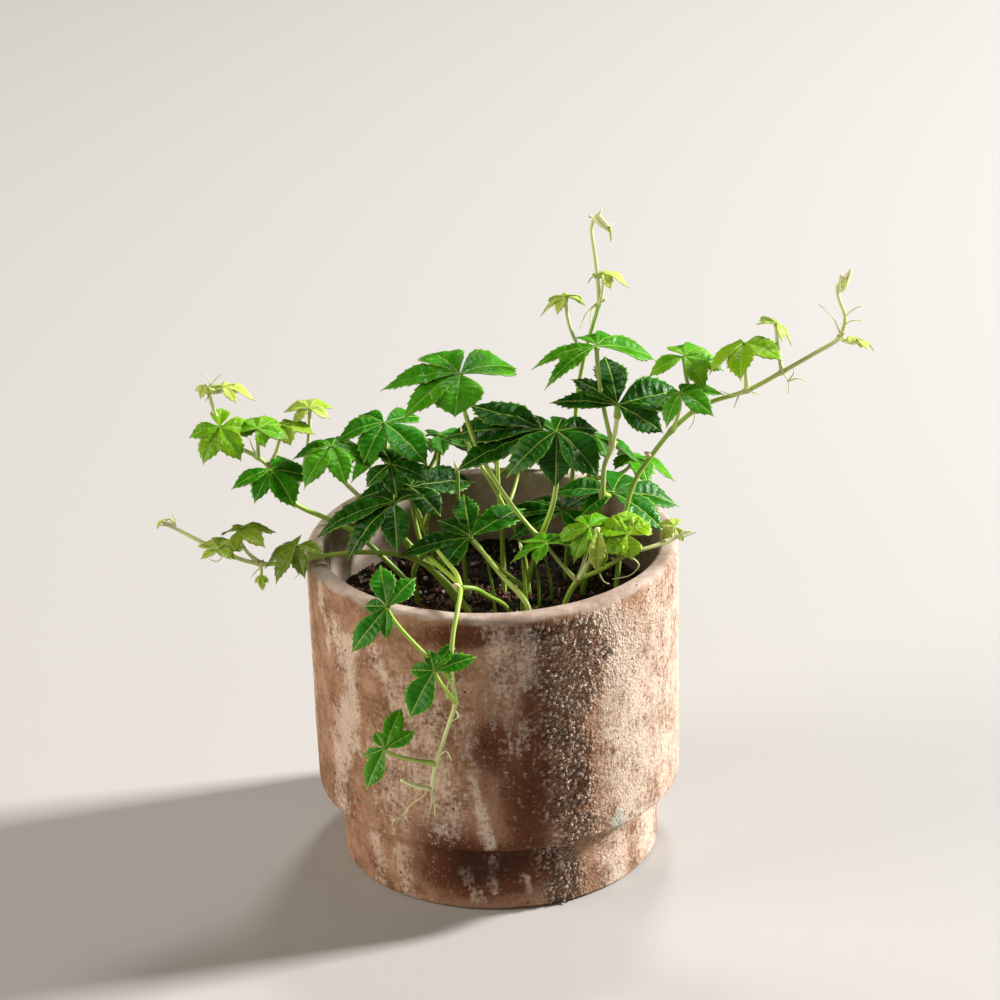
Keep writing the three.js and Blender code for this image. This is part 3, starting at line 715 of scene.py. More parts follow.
SHOOTS = [
    dict(
        name="shoot_upper_left", radius=1.15,
        route=[
            (-32, 16, 99), (-42, 16, 112), (-52, 17, 122), (-64, 19, 128), (-70, 19, 131), (-75, 18, 135),
            (-80, 17, 144), (-83, 15, 151), (-87, 13, 156), (-94, 12, 161), (-98, 12, 167),
            (-102, 12, 175), (-104, 12, 184),
        ],
        leaves=[
            leaf_at(6, (-82, 9, 152), [(0, 16), (55, 14), (200, 16), (248, 15), (300, 19)], youth=0.25),
            leaf_at(8, (-86, 6, 170), palm(50, 12), lean=(270, 20), youth=0.55),
            leaf_at(7, (-78, 16, 167), palm(350, 13), lean=(180, 5), youth=0.75),
            leaf_at(5, (-67, 20, 172), palm(100, 12), droop=0.4, youth=0.85),
            leaf_at(10, (-100, 7, 171), [(5, 14), (90, 12), (190, 12), (245, 15), (300, 15)],
                    lean=(270, 30), youth=0.6),
            leaf_at(12, (-98, 12, 185), palm(60, 12), lean=(180, 5), droop=0.6, youth=0.95),
            leaf_at(12, (-105, 12, 186), [(200, 4), (250, 5), (300, 4)], lean=(270, 40), droop=0.5,
                    youth=1.0),
        ],
        tendrils=[
            [(-104, 12, 184), (-103, 12, 187), (-105, 12, 191)],
            [(-104, 12, 184), (-102, 12, 187), (-98, 12, 191)],
            [(-87, 13, 156), (-89, 14, 160), (-90, 15, 163), (-93, 15, 164)],
        ],
        buds=[(-75, 18, 134.5, 190, 3.6, 0.9)],
    ),
    dict(
        name="shoot_low_left", radius=1.1,
        route=[
            (-9, -12, 99), (-18, -12, 114), (-30, -13, 124), (-46, -15, 128), (-63, -17, 128),
            (-72, -18, 127), (-79, -18, 126), (-86, -18, 126), (-93, -18, 128), (-99, -18, 131),
            (-108, -16, 135), (-116, -14, 139), (-121, -14, 142),
        ],
        leaves=[
            leaf_at(5, (-72, -23, 135), [(110, 12), (178, 15), (225, 15), (272, 13), (340, 10)],
                    lean=(220, 20), droop=0.45, youth=0.4, bronze=0.6),
            leaf_at(7, (-94, -15, 138), palm(20, 14), lean=(180, 10), droop=0.35, youth=0.7, bronze=0.5),
            leaf_at(9, (-101, -22, 134), palm(85, 11), droop=0.25, youth=0.8),
            leaf_at(7, (-86, -19, 122), [(230, 4), (270, 6), (310, 4)], lean=(270, 60), youth=0.8),
            leaf_at(12, (-121, -14, 143), [(60, 3), (150, 4), (210, 4)], lean=(180, 20), droop=0.4,
                    youth=1.0),
        ],
        tendrils=[
            [(-117, -14, 140), (-117, -14, 142), (-118, -14, 146)],
            [(-119, -14, 141), (-122, -14, 141), (-124, -14, 142)],
            [(-86, -18, 125), (-88, -18, 123), (-90, -19, 121)],
            [(-72, -18, 126), (-71, -19, 123), (-74, -19, 120)],
            [(-99, -18, 131), (-102, -19, 128), (-105, -19, 129)],
        ],
        buds=[(-119, -14, 141, 170, 2.4), (-72, -19, 125, 260, 1.8)],
        tips=[(-119, -14, 141, 180, 35, 5), (-117, -14, 140, 150, 60, 5)],
    ),
    dict(
        name="shoot_left_crown", radius=1.2,
        route=[(-14, 0, 99), (-24, 3, 113), (-36, 9, 126), (-49, 13, 138), (-57, 13, 148), (-59, 12, 157)],
        leaves=[
            leaf_at(5, (-59, 11, 160), [(45, 14), (110, 13), (180, 15), (238, 19), (287, 18), (340, 16)],
                    lean=(270, 10), droop=0.4, youth=0.35),
            leaf_at(2, (-39, 18, 166), [(35, 17), (135, 15), (188, 19), (245, 19), (310, 24)], youth=0.2),
            leaf_at(2, (-37, 4, 155), [(45, 16), (105, 14), (225, 13), (280, 14), (340, 15)],
                    lean=(270, 20), droop=0.25, youth=0.05),
            leaf_at(1, (-30, 12, 142), [(20, 26), (75, 20), (135, 20), (182, 22), (310, 18)], droop=0.2),
            leaf_at(1, (-36, -7, 144), [(50, 16), (130, 18), (183, 32), (222, 27), (272, 20)],
                    lean=(250, 15), droop=0.4),
        ],
    ),
    dict(
        name="shoot_centre", radius=1.3,
        route=[
            (11, -4, 99), (12, -4, 106), (15, -4, 116), (18, -6, 127), (23, -8, 142), (25, -10, 156),
            (25, -12, 168),
        ],
        leaves=[
            leaf_at(6, (25, -12, 173), [(20, 17), (75, 12), (218, 24), (268, 21, 1.25), (316, 22, 1.35)],
                    lean=(270, 25), droop=0.4, youth=0.05),
            leaf_at(5, (20, -1, 169),
                    [(100, 11), (138, 37, 1.5), (165, 40, 1.5), (195, 36, 1.5), (245, 18)], lean=(250, 20),
                    droop=0.12),
            leaf_at(3, (-10, 0, 192), [(36, 26, 1.15), (116, 28), (172, 30), (215, 27), (266, 19, 1.9)],
                    lean=(270, 14), youth=0.32),
            leaf_at(1, (-8, -15, 133),
                    [(40, 28, 0.75), (95, 29, 0.75), (135, 18), (185, 28, 0.75), (230, 20)],
                    lean=(260, 20), droop=0.15, rise=0.1, youth=0.05),
        ],
        stubs=[
            (1.1, 0.62, [(13, -38, 92), (12.4, -36, 113.6), (3, -26, 122), (-7, -16, 132)]),
            (0.8, 0.3, [(12, -20, 92), (12, -20, 107), (11, -19, 129)]),
            (0.6, 0.15, [(17, 0, 92), (17, 0, 106), (16, 0, 120)]),
            (0.6, 0.15, [(22, 5, 92), (22, 5, 101), (19, 5, 121)]),
            (0.6, 0.15, [(0, -10, 92), (0, -10, 106), (-3, -11, 124), (-7, -14, 133)]),
            (0.9, 0.6, [(14, 10, 92), (11, 9, 118), (3, 8, 139), (-4, 8, 153), (-9, 8, 163)]),
            (0.9, 0.6, [(4, 12, 92), (4, 10, 118), (3, 8, 143), (3, 8, 152), (3, 8, 164)]),
            (0.8, 0.3, [(-10, 8, 92), (-11, 8, 120), (-12, 8, 135), (-12, 8, 150)]),
        ],
        tips=[
            (-9, 8, 162.4, 130, 66, 5.5), (3, 8, 163.4, 60, 78, 5.5), (-12, 8, 149.4, 190, 74, 5),
            (11, -19, 128.4, 200, 76, 4), (16, 0, 119.4, 120, 74, 4), (19, 5, 120.4, 150, 72, 4),
        ],
    ),
    dict(
        name="shoot_right_crown", radius=1.3,
        route=[(34, 8, 99), (39, 8, 118), (42, 7, 139), (43, 6, 151), (46, 4, 160), (48, 3, 172)],
        leaves=[
            leaf_at(5, (48, 2, 177), [(20, 27), (95, 29), (135, 24), (166, 26), (325, 20)], lean=(270, 30),
                    droop=0.2),
            leaf_at(4, (41, 9, 198), [(12, 23), (60, 17), (115, 14), (185, 24), (215, 24)], lean=(280, 15),
                    droop=0.4, youth=0.35),
            leaf_at(2, (46, 10, 138), [(10, 27), (75, 22), (165, 24), (215, 15), (325, 24)],
                    lean=(290, 15), youth=0.15),
            leaf_at(1, (27, 13, 130), [(50, 16), (125, 20), (170, 31), (208, 24), (300, 14)],
                    lean=(230, 10), droop=0.12, youth=0.05),
        ],
    ),
    dict(
        name="shoot_top", radius=1.0,
        route=[
            (28, 26, 99), (30, 28, 120), (32, 30, 145), (34, 30, 170), (37, 27, 188), (40, 20, 202),
            (42, 14, 212), (42, 11, 221), (41, 10, 233), (40, 10, 245), (42, 9, 249), (46, 8, 245),
        ],
        leaves=[
            leaf_at(6, (44, 10, 226), palm(45, 10), lean=(175, 5), droop=0.65, youth=0.95),
            leaf_at(4, (30, 13, 216), palm(120, 11), lean=(180, 5), droop=0.6, youth=0.9),
            leaf_at(11, (46, 8, 245), [(340, 5), (0, 6), (20, 5)], lean=(0, 70), droop=0.2, youth=1.0),
        ],
        tendrils=[
            [(41, 13, 213), (37, 10, 210), (35, 9, 205)], [(41, 13, 213), (39, 10, 210), (39, 9, 206)],
        ],
        buds=[(40, 10, 248, 180, 1.6), (43, 13, 214, 0, 2.4)],
        tips=[(41, 9.5, 248.5, 350, -45, 8.5), (41, 10, 246, 130, 60, 3.5), (42, 9, 248, 20, 60, 4)],
    ),
    dict(
        name="shoot_right", radius=1.1,
        route=[
            (45, -15, 99), (47, -13, 120), (50, -8, 138), (54, -4, 149), (60, -1, 157), (68, 0, 167),
            (77, 0, 175), (83, 0, 178), (96, 0, 182), (109, 0, 189), (121, 0, 196), (130, 0, 202),
            (132, 0, 210), (130, 0, 216), (129, 0, 222), (132, 0, 225),
        ],
        leaves=[
            leaf_at(5, (71, -6, 184), [(10, 15), (60, 15), (150, 13), (230, 13), (310, 15)],
                    lean=(200, 20), droop=0.5, youth=0.35),
            leaf_at(6, (73, 3, 195), [(0, 15), (55, 14), (110, 12), (195, 14), (300, 14)], lean=(270, 20),
                    droop=0.45, youth=0.5),
            leaf_at(8, (95, -1, 201), palm(255, 18), lean=(180, 15), droop=0.35, youth=0.7),
            leaf_at(9, (107, 2, 207), palm(60, 10), lean=(0, 30), droop=0.5, youth=0.85),
            leaf_at(11, (136, -3, 202), palm(300, 8), lean=(60, 30), droop=0.4, youth=0.95),
            leaf_at(15, (132, 0, 225), [(150, 4), (190, 5), (230, 4)], lean=(200, 50), youth=1.0),
        ],
        tendrils=[
            [(96, 0, 182), (91, -2, 181), (86, -2, 183)], [(96, 0, 182), (98, -2, 182), (101, -2, 181)],
            [(93, -1, 181), (92, -2, 179), (91, -2, 176)], [(109, 0, 189), (111, -2, 186), (111, -2, 181)],
            [(111, -2, 186), (113, -2, 189), (113, -2, 191)],
            [(111, -2, 186), (115, -2, 187), (119, -2, 185)],
            [(130, 0, 204), (127, -2, 211), (122, -2, 216)],
            [(132, 0, 210), (134, -2, 213), (138, -2, 215)],
            [(132, 0, 207), (134, -2, 209), (139, -2, 209)], [(77, 0, 175), (76, -2, 171), (74, -2, 168)],
        ],
        buds=[(60, -1.5, 157.6, 190, 3.2), (96, -1, 183, 250, 1.6), (130, -1, 203, 0, 2.6)],
        tips=[(130, 0, 220, 10, 62, 10), (130, 0, 221, 60, 78, 6)],
    ),
    dict(
        name="shoot_hanging", radius=1.1,
        route=[
            (-29, 4, 99), (-30, 1, 111), (-28, -5, 119), (-25, -13, 125), (-21, -27, 128), (-15, -46, 131),
            (-12, -55, 131), (-13, -66, 128), (-15, -73, 121), (-16, -76, 112), (-16, -75, 104),
            (-15, -75, 95), (-17, -75, 88), (-20, -75, 79), (-23, -75, 70), (-25, -75, 59),
        ],
        leaves=[
            leaf_at(10, (-38, -78, 135), [(42, 15), (92, 17), (165, 9), (222, 21), (262, 12)],
                    lean=(255, 50), droop=0.15, rise=0.15, youth=0.2),
            leaf_at(11, (-22, -80, 110), [(14, 16), (52, 13), (100, 9), (165, 10), (230, 19)],
                    lean=(255, 50), droop=0.15, rise=0.15, youth=0.25),
            leaf_at(14, (-41, -81, 80), [(22, 13), (62, 17), (112, 8), (190, 9), (236, 16)],
                    lean=(255, 50), droop=0.15, rise=0.15, youth=0.3),
        ],
        stubs=[
            (0.8, 1.0, [(-25, -75, 60), (-30, -77, 62), (-36, -77, 65)]),
            (0.9, 0.6, [(-12, -54, 131), (-13, -47, 132), (-17, -32, 131), (-22, -14, 129), (-24, -6, 125)]),
            (0.9, 0.3, [(-12, -55, 131), (-7, -52, 129), (-2, -46, 123), (5, -36, 113), (10, -28, 92)]),
        ],
        threads=[
            [(-25, -75, 61), (-28, -77, 58), (-32, -77, 55), (-36, -77, 50), (-38, -77, 48)],
            [(-36, -77, 50), (-39, -78, 49), (-40, -77, 46)],
        ],
        tendrils=[
            [(-25, -75, 60), (-24, -77, 54), (-24, -77, 49)],
            [(-25, -75, 60), (-25, -77, 55), (-26, -77, 51)],
            [(-22, -75, 73), (-19, -77, 76), (-17, -77, 72)],
            [(-16, -75, 93), (-14, -77, 90), (-17, -77, 88)],
            [(-16, -75, 106), (-18, -77, 101), (-18, -77, 97)],
        ],
        buds=[
            (-25, -76, 60, 200, 2.0), (-16, -76, 92, 0, 1.8), (-12, -55, 131, 200, 3.4),
            (-38, -77, 48, 180, 1.5), (-38, -77, 48, 60, 1.3), (-38, -77.2, 48, 300, 1.4),
            (-36, -77, 50, 120, 1.1), (-40, -77, 46, 240, 1.2),
        ],
    ),
    dict(
        name="shoot_low_right", radius=1.1,
        route=[
            (24, -24, 99), (27, -25, 111), (31, -25, 118), (39, -25, 122), (45, -24, 125), (51, -23, 128),
            (58, -21, 129), (65, -18, 130), (71, -16, 132),
        ],
        leaves=[
            leaf_at(2, (20, -21, 132), palm(125, 16), lean=(190, 10), rise=0.1, youth=0.45),
            leaf_at(2, (36, -19, 137), [(50, 12), (110, 10), (190, 13), (240, 13), (290, 15)],
                    lean=(270, 30), droop=0.5, youth=0.55),
            leaf_at(5, (50, -22, 135),
                    [(35, 11, 1.5), (90, 12, 1.5), (150, 12, 1.5), (215, 11, 1.5), (275, 10, 1.5)],
                    lean=(270, 35), droop=0.2, youth=0.68, crinkle=2.2),
            leaf_at(7, (68, -14, 134), [(80, 6), (150, 7), (220, 7), (300, 6)], lean=(270, 30), droop=0.4,
                    youth=0.9),
            leaf_at(2, (39, -24, 139), [(272, 17, 0.6)], lean=(280, 60), droop=0.15, youth=0.88),
        ],
        tendrils=[
            [(70, -16, 131), (72, -16, 131), (76, -17, 133)],
            [(51, -24, 127), (54, -25, 124), (51, -25, 120), (44, -24, 118)],
            [(39, -25, 122), (41, -26, 118), (43, -26, 117)],
        ],
        buds=[(31, -25, 119, 190, 2.2), (45, -24, 126, 200, 1.8)],
        tips=[(70, -16, 132, 340, 20, 5)],
    ),
    dict(
        name="shoot_back_left", radius=1.2,
        route=[(-22, 34, 99), (-26, 38, 114), (-32, 42, 128), (-36, 44, 138)],
        leaves=[
            leaf_at(3, (-38, 45, 144), palm(160, 22), lean=(120, 10), droop=0.4, youth=0.3),
            leaf_at(2, (-20, 58, 141), palm(100, 20), lean=(100, 15), droop=0.35, youth=0.1),
            leaf_at(1, (-19, 38, 152), palm(30, 21), lean=(110, 10), droop=0.35, youth=0.2),
        ],
        tendrils=[[(-36, 44, 138), (-42, 49, 140), (-46, 52, 137)]],
        buds=[(-26, 39, 115, 90, 2.0)],
    ),
    dict(
        name="shoot_back_middle", radius=1.2,
        route=[(4, 32, 99), (4, 38, 116), (3, 44, 132), (2, 46, 144)],
        leaves=[
            leaf_at(3, (2, 44, 151), palm(15, 21), lean=(80, 10), droop=0.35, youth=0.15),
            leaf_at(1, (12, 62, 136), palm(80, 19), lean=(85, 15), droop=0.35, youth=0.35),
            leaf_at(2, (15, 33, 159), palm(100, 21), lean=(60, 10), droop=0.35, youth=0.05),
        ],
        tendrils=[[(3, 45, 133), (-3, 51, 134), (-5, 55, 130)]],
        buds=[(4, 39, 117, 90, 2.0)],
    ),
    dict(
        name="shoot_back_right", radius=1.2,
        route=[(30, 40, 99), (34, 42, 114), (38, 43, 130), (40, 43, 140)],
        leaves=[
            leaf_at(3, (41, 43, 147), palm(50, 21), lean=(40, 15), droop=0.4, youth=0.2),
            leaf_at(2, (55, 44, 138), palm(350, 18), lean=(40, 15), droop=0.35, youth=0.4),
        ],
        tendrils=[[(38, 43, 131), (43, 48, 131), (46, 50, 127)]],
        buds=[(34, 43, 115, 60, 2.0)],
    ),
]


def between(start, end, low, high, at):
    """The point at `at` on the way from start, reached at low, to end, reached at high."""
    return start + (end - start) * ((at - low) / (high - low))


def smooth_path(places, row):
    """A centripetal Catmull-Rom curve through the places, in steps of about a row."""
    ends = [places[0] * 2 - places[1]] + places + [places[-1] * 2 - places[-2]]
    path = [places[0]]
    for a, b, c, d in zip(ends, ends[1:], ends[2:], ends[3:]):
        knots = [0.0]
        for start, end in ((a, b), (b, c), (c, d)):
            knots.append(knots[-1] + math.sqrt((end - start).length))
        k0, k1, k2, k3 = knots
        steps = max(1, round((c - b).length / row))
        for n in range(1, steps + 1):
            at = k1 + (k2 - k1) * n / steps
            ab, bc, cd = between(a, b, k0, k1, at), between(b, c, k1, k2, at), between(c, d, k2, k3, at)
            path.append(between(between(ab, bc, k0, k2, at), between(bc, cd, k1, k3, at), k1, k2, at))
    return path


def draw_out(body, path, radii, sides, marks):
    """A closed bar: a ring drawn out along a path, as wide at each step as its radius says.

    marks maps a vertex layer to a value, or to a list with a value for each step."""
    turns = []
    up = Vector((0, 1, 0)) if abs((path[1] - path[0]).normalized().y) < 0.9 else Vector((1, 0, 0))
    for n, place in enumerate(path):
        along = (path[min(n + 1, len(path) - 1)] - path[max(n - 1, 0)]).normalized()
        side = up.cross(along).normalized()
        up = along.cross(side)
        frame_here = Matrix((side, up, along)).transposed().to_4x4()
        scale = Matrix.Scale(radii[n] * MM, 4)
        turns.append(Matrix.Translation(place * MM) @ frame_here @ scale)
    made = bmesh.ops.create_circle(body, cap_ends=True, segments=sides, radius=1, matrix=turns[0])
    ring = made["verts"]
    first_face = ring[0].link_faces[0]
    rings = [ring]
    edges = list(first_face.edges)
    for before, after in zip(turns, turns[1:]):
        grown = bmesh.ops.extrude_edge_only(body, edges=edges)["geom"]
        ring = [part for part in grown if isinstance(part, bmesh.types.BMVert)]
        new = set(ring)
        edges = [
            part for part in grown
            if isinstance(part, bmesh.types.BMEdge) and part.verts[0] in new and part.verts[1] in new
        ]
        bmesh.ops.transform(body, matrix=after @ before.inverted(), verts=ring)
        rings.append(ring)
    bmesh.ops.contextual_create(body, geom=edges)
    for n, ring in enumerate(rings):
        for layer, value in marks.items():
            for corner in ring:
                corner[layer] = value[n] if isinstance(value, list) else value
    return {face for ring in rings for corner in ring for face in corner.link_faces}


def leaflet_rows(length):
    """The leaflet's teeth on each side, and its rows."""
    teeth = min(8, max(5, round(length / 2.6)))
    return teeth, BASE_ROWS + TOOTH_ROWS * teeth


def grow_leaflet(body, layers, leaf, heading, length, half, place, dice):
    """One leaflet: a flat grid whose rows follow the side veins, cut to its toothed outline, arched,
    folded and blistered, then turned to its heading and set in place."""
    teeth, rows = leaflet_rows(length)
    grid = bmesh.ops.create_grid(body, x_segments=rows, y_segments=BLADE_COLUMNS, size=0.5)["verts"]
    droop = leaf["droop"]
    youth = leaf["youth"]
    crinkle = leaf.get("crinkle", 1.0)
    tooth = TOOTH + TOOTH_GAIN * length
    quilt = QUILT_GAIN * length * crinkle
    blister = BLISTER * min(1.2, length / 22) * crinkle
    phase = dice.uniform(0, math.tau)
    sickle = dice.uniform(-0.05, 0.05) * length
    twist = math.radians(PINWHEEL + dice.uniform(-5, 5))
    ripple = dice.uniform(0.010, 0.024) * length * crinkle
    hook = dice.uniform(0.0, 0.07) * length
    for corner in grid:
        row = round((corner.co.x + 0.5) * rows)
        across = corner.co.y * 2
        rung = (row - BASE_ROWS) / TOOTH_ROWS
        if row <= BASE_ROWS:
            share = TOOTHLESS * row / BASE_ROWS
        else:
            share = TOOTHLESS + (1 - TOOTHLESS) * rung / teeth
        swell = max(0.0, math.sin(math.pi * share**0.93)) ** 1.25
        stalk = 0.35 * (1 - share) + 0.08
        reach = across * max(stalk, half * swell)
        along = share * length * (1 - 0.02 * abs(across)) + FORWARD * abs(across) ** 1.15 * half * swell
        bite = 0.0
        if row > BASE_ROWS and row < rows:
            bite = TOOTH_STEPS[(row - BASE_ROWS) % TOOTH_ROWS]
        bite *= abs(across) ** 9 * min(1, swell * 1.6) * tooth
        reach += math.copysign(bite * 0.8, across)
        along += bite * 0.8
        far = along / length
        lift = FOLD * abs(reach) * (1.15 - 0.35 * abs(across) - 0.75 * share * abs(across))
        groove = math.cos(math.tau * (rung - 0.25)) if row > BASE_ROWS - 2 else 0
        lift += quilt * groove * math.sin(math.pi * min(1, abs(across) * 0.9 + 0.05)) * swell
        lift += blister * noise.noise(Vector((along, reach, phase * 9)) / BLISTER_SIZE) * swell
        lift += ripple * math.sin(phase + 9 * share) * across * across * swell
        lift += reach * math.sin(twist) * far
        sag = -droop * length * far * far - hook * max(0, far - 0.55) ** 2 * 4
        corner.co = Vector((along, reach + sickle * far * far, lift + sag))
        corner[layers["across"]] = across
        corner[layers["rung"]] = rung
        corner[layers["reach"]] = reach
        corner[layers["youth"]] = min(1, max(0, youth + leaf["tone"]))
        corner[layers["bronze"]] = leaf.get("bronze", 0.0)
    turn = place @ Matrix.Rotation(math.radians(heading), 4, "Z")
    bmesh.ops.transform(body, matrix=Matrix.Scale(MM, 4) @ turn, verts=grid)
    return {face for corner in grid for face in corner.link_faces}


def lean_over(leaf):
    """The turn that tips a leaf's face over towards its heading."""
    azimuth, tilt = (math.radians(value) for value in leaf["lean"])
    return Matrix.Rotation(tilt, 4, Vector((-math.sin(azimuth), math.cos(azimuth), 0)))


def grow_leaf(body, layers, leaf, dice):
    """A leaf's blades round its hub, each leaflet a little above or below the next."""
    fingers = sorted(leaf["fingers"])
    place = Matrix.Translation(leaf["hub"]) @ lean_over(leaf)
    earlier = set(body.faces)
    blades = set()
    for n, (heading, length, *broad) in enumerate(fingers):
        before = (heading - fingers[n - 1][0]) % 360 or 360
        after = (fingers[(n + 1) % len(fingers)][0] - heading) % 360 or 360
        room = ROOM * math.tan(math.radians(min(before, after, WIDE_GAP) / 2))
        half = length * min(HALF_WIDTH, room) * WIDER * (broad[0] if broad else 1)
        leaf["tone"] = dice.uniform(-0.05, 0.05)
        step = Matrix.Translation((0, 0, LEAFLET_STEP * (n % 3)))
        blades |= grow_leaflet(body, layers, leaf, heading, length, half, place @ step, dice)
    bmesh.ops.solidify(body, geom=list(blades), thickness=BLADE_THICKNESS * MM)
    facing = place.to_3x3() @ Vector((0, 0, 1))
    for face in set(body.faces) - earlier:
        face.normal_update()
        face.material_index = 1 if face.normal.dot(facing) > 0 else 2


def grow_petiole(body, layers, leaf, start):
    """A leaf's stalk, from the stem up to the underside of its hub, swollen at both ends."""
    end = Vector(leaf["hub"]) + lean_over(leaf).to_3x3() @ Vector((0, 0, -0.2))
    longest = max(finger[1] for finger in leaf["fingers"])
    radius = PETIOLE_RADIUS + PETIOLE_GAIN * longest if longest > TINY_LEAF else TINY_PETIOLE
    bend = end - Vector((0, 0, leaf.get("rise", PETIOLE_RISE) * (end - start).length))
    steps = max(5, round((end - start).length / PETIOLE_ROW))
    path = []
    radii = []
    for n in range(steps + 1):
        share = n / steps
        path.append(start * (1 - share) ** 2 + bend * 2 * share * (1 - share) + end * share**2)
        foot = PETIOLE_FLARE * bump(share * (end - start).length / 4)
        head = 0.45 * bump((1 - share) * (end - start).length / 2.5)
        radii.append(radius * (1 + foot + head))
    marks = {layers["youth"]: min(1, 0.45 + 0.5 * leaf["youth"]), layers["bronze"]: 0.0}
    return draw_out(body, path, radii, PETIOLE_SIDES, marks)


def grow_stub(body, layers, places, radius, youth):
    """A bare side stem or thread, a little thinner at its end."""
    line = smooth_path([Vector(place) for place in places], 1.6)
    radii = [radius * (1.1 - 0.35 * n / (len(line) - 1)) for n in range(len(line))]
    return draw_out(body, line, radii, PETIOLE_SIDES, {layers["youth"]: youth, layers["bronze"]: 0.0})


def grow_scale(body, layers, place, heading, rise, length, stout, redness):
    """A bud or a scale: a small pointed egg on the stem, at an angle up from a heading."""
    way, up = math.radians(heading), math.radians(rise)
    out = Vector((math.cos(way) * math.cos(up), math.sin(way) * math.cos(up), math.sin(up)))
    path = [Vector(place) + out * length * share for share in (0, 0.25, 0.5, 0.75, 1)]
    radii = [length * stout * width for width in (0.6, 1, 0.95, 0.6, 0.1)]
    return draw_out(body, path, radii, 6, {layers["youth"]: 1.0, layers["bronze"]: redness})


SHOOT_SEED = 5
tip_youth = {"shoot_back_left": 0.55, "shoot_back_middle": 0.55, "shoot_back_right": 0.55}


def grow_shoot(shoot, materials, dice):
    """A whole leafy stem as one piece that stands for its node."""
    body = bmesh.new()
    names = ("across", "rung", "reach", "youth", "bronze")
    layers = {name: body.verts.layers.float.new(name) for name in names}
    route = [Vector(place) for place in shoot["route"]]
    foot = route[0]
    bottom = Vector((foot.x, foot.y, SOIL_TOP - ROOT_DEPTH + SOIL_GAP))
    buried = [bottom, foot - Vector((0, 0, ROOT_DEPTH / 2))]
    path = smooth_path(buried + route, STEM_ROW)
    joints = [route[leaf["joint"]] for leaf in shoot["leaves"]]
    radii = []
    youths = []
    oldest = 0.2
    for n, spot in enumerate(path):
        share = n / (len(path) - 1)
        near = min((spot - joint).length for joint in joints)
        swell = 1 + JOINT_SWELL * bump(near / JOINT_LENGTH)
        radii.append(shoot["radius"] * swell * (0.98 - 0.32 * share))
        youths.append(oldest + (tip_youth.get(shoot["name"], 1.0) - oldest) * share**1.4)
    draw_out(body, path, radii, STEM_SIDES, {layers["youth"]: youths, layers["bronze"]: 0.0})
    for leaf, joint in zip(shoot["leaves"], joints):
        start = min(path, key=lambda spot: (spot - joint).length)
        if (Vector(leaf["hub"]) - start).length > SITTING:
            grow_petiole(body, layers, leaf, start)
    for tendril in shoot.get("tendrils", []):
        line = smooth_path([Vector(place) for place in tendril], 1.2)
        thin = [TENDRIL_RADIUS * (1.3 - 0.8 * n / (len(line) - 1)) for n in range(len(line))]
        draw_out(body, line, thin, TENDRIL_SIDES, {layers["youth"]: 0.95, layers["bronze"]: 0.1})
    for radius, youth, places in shoot.get("stubs", []):
        grow_stub(body, layers, places, radius, youth)
    for x, y, z, heading, rise, length in shoot.get("tips", []):
        grow_scale(body, layers, (x, y, z), heading, rise, length, TIP_STOUT, 1.0)
    scale_faces = set()
    for places in shoot.get("threads", []):
        scale_faces |= grow_stub(body, layers, places, THREAD_RADIUS, THREAD_YOUTH)
    for x, y, z, heading, length, *red in shoot.get("buds", []):
        redness = red[0] if red else 0.2
        scale_faces |= grow_scale(
            body, layers, (x, y, z), heading, SCALE_RISE, length, BUD_STOUT, redness
        )
    for joint in joints:
        for side in (dice.uniform(0, 90), dice.uniform(180, 270)):
            length = shoot["radius"] * SCALE_LENGTH
            redness = 0.7 * dice.random() ** 2
            scale_faces |= grow_scale(
                body, layers, joint, side, SCALE_RISE, length, BUD_STOUT, redness
            )
    for face in scale_faces:
        face.material_index = 3
    for leaf in shoot["leaves"]:
        grow_leaf(body, layers, leaf, dice)
    piece = finish_mesh(body, shoot["name"] + "_grown", materials)
    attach(piece, "root")
    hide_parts(shoot["name"])


# the share of the light on a blade that shines through it
GLOW = 0.26

# the skin of stems, petioles and tendrils: smooth, waxy and juicy, greener where it is older
skin = blank("stem_skin")
age = add(skin, "Attribute", attribute_name="youth").outputs["Fac"]
skin_colour = add(skin, "ValToRGB", {"Fac": age})
ramp = skin_colour.color_ramp.elements
ramp[0].position, ramp[0].color = 0.1, linear("#5f8a22")
ramp[1].position, ramp[1].color = 1.0, linear("#e6edb0")
middle = ramp.new(0.55)
middle.color = linear("#a2c23f")
skin_face = add(skin, "BsdfPrincipled", {"Base Color": skin_colour, "Roughness": 0.42})
add(skin, "OutputMaterial", {"Surface": skin_face})

# the upper face of a leaf: a hard skin that shines in patches where it is blistered, over saturated
# green, with pale veins and a thin pale margin, partly a painted highlight where the edge catches
# the light, and light shines through it
leaf_top = blank("leaf_upper_face")
age, across, reach, rung, bronze = [
    add(leaf_top, "Attribute", attribute_name=name).outputs["Fac"]
    for name in ("youth", "across", "reach", "rung", "bronze")
]
where = add(leaf_top, "TexCoord").outputs["Object"]
blotch = add(leaf_top, "TexNoise", {"Vector": where, "Scale": per_metre / 5, "Detail": 3.0})
cells = add(
    leaf_top, "TexNoise", {"Vector": where, "Scale": per_metre / 1.5, "Detail": 4.0, "Roughness": 0.6}
)
outer = add(leaf_top, "Math", {0: across, 1: across}, operation="MULTIPLY")
brighter = add(leaf_top, "Math", {0: outer, 1: 0.1, 2: age}, operation="MULTIPLY_ADD")
uneven = add(leaf_top, "Math", {0: blotch, 1: 0.3, 2: brighter}, operation="MULTIPLY_ADD")
shade = add(leaf_top, "Math", {0: uneven, 1: 0.16}, operation="SUBTRACT")
top_colour = add(leaf_top, "ValToRGB", {"Fac": shade})
ramp = top_colour.color_ramp.elements
ramp[0].position, ramp[0].color = 0.0, linear("#154d03")
ramp[1].position, ramp[1].color = 1.0, linear("#dfe97a")
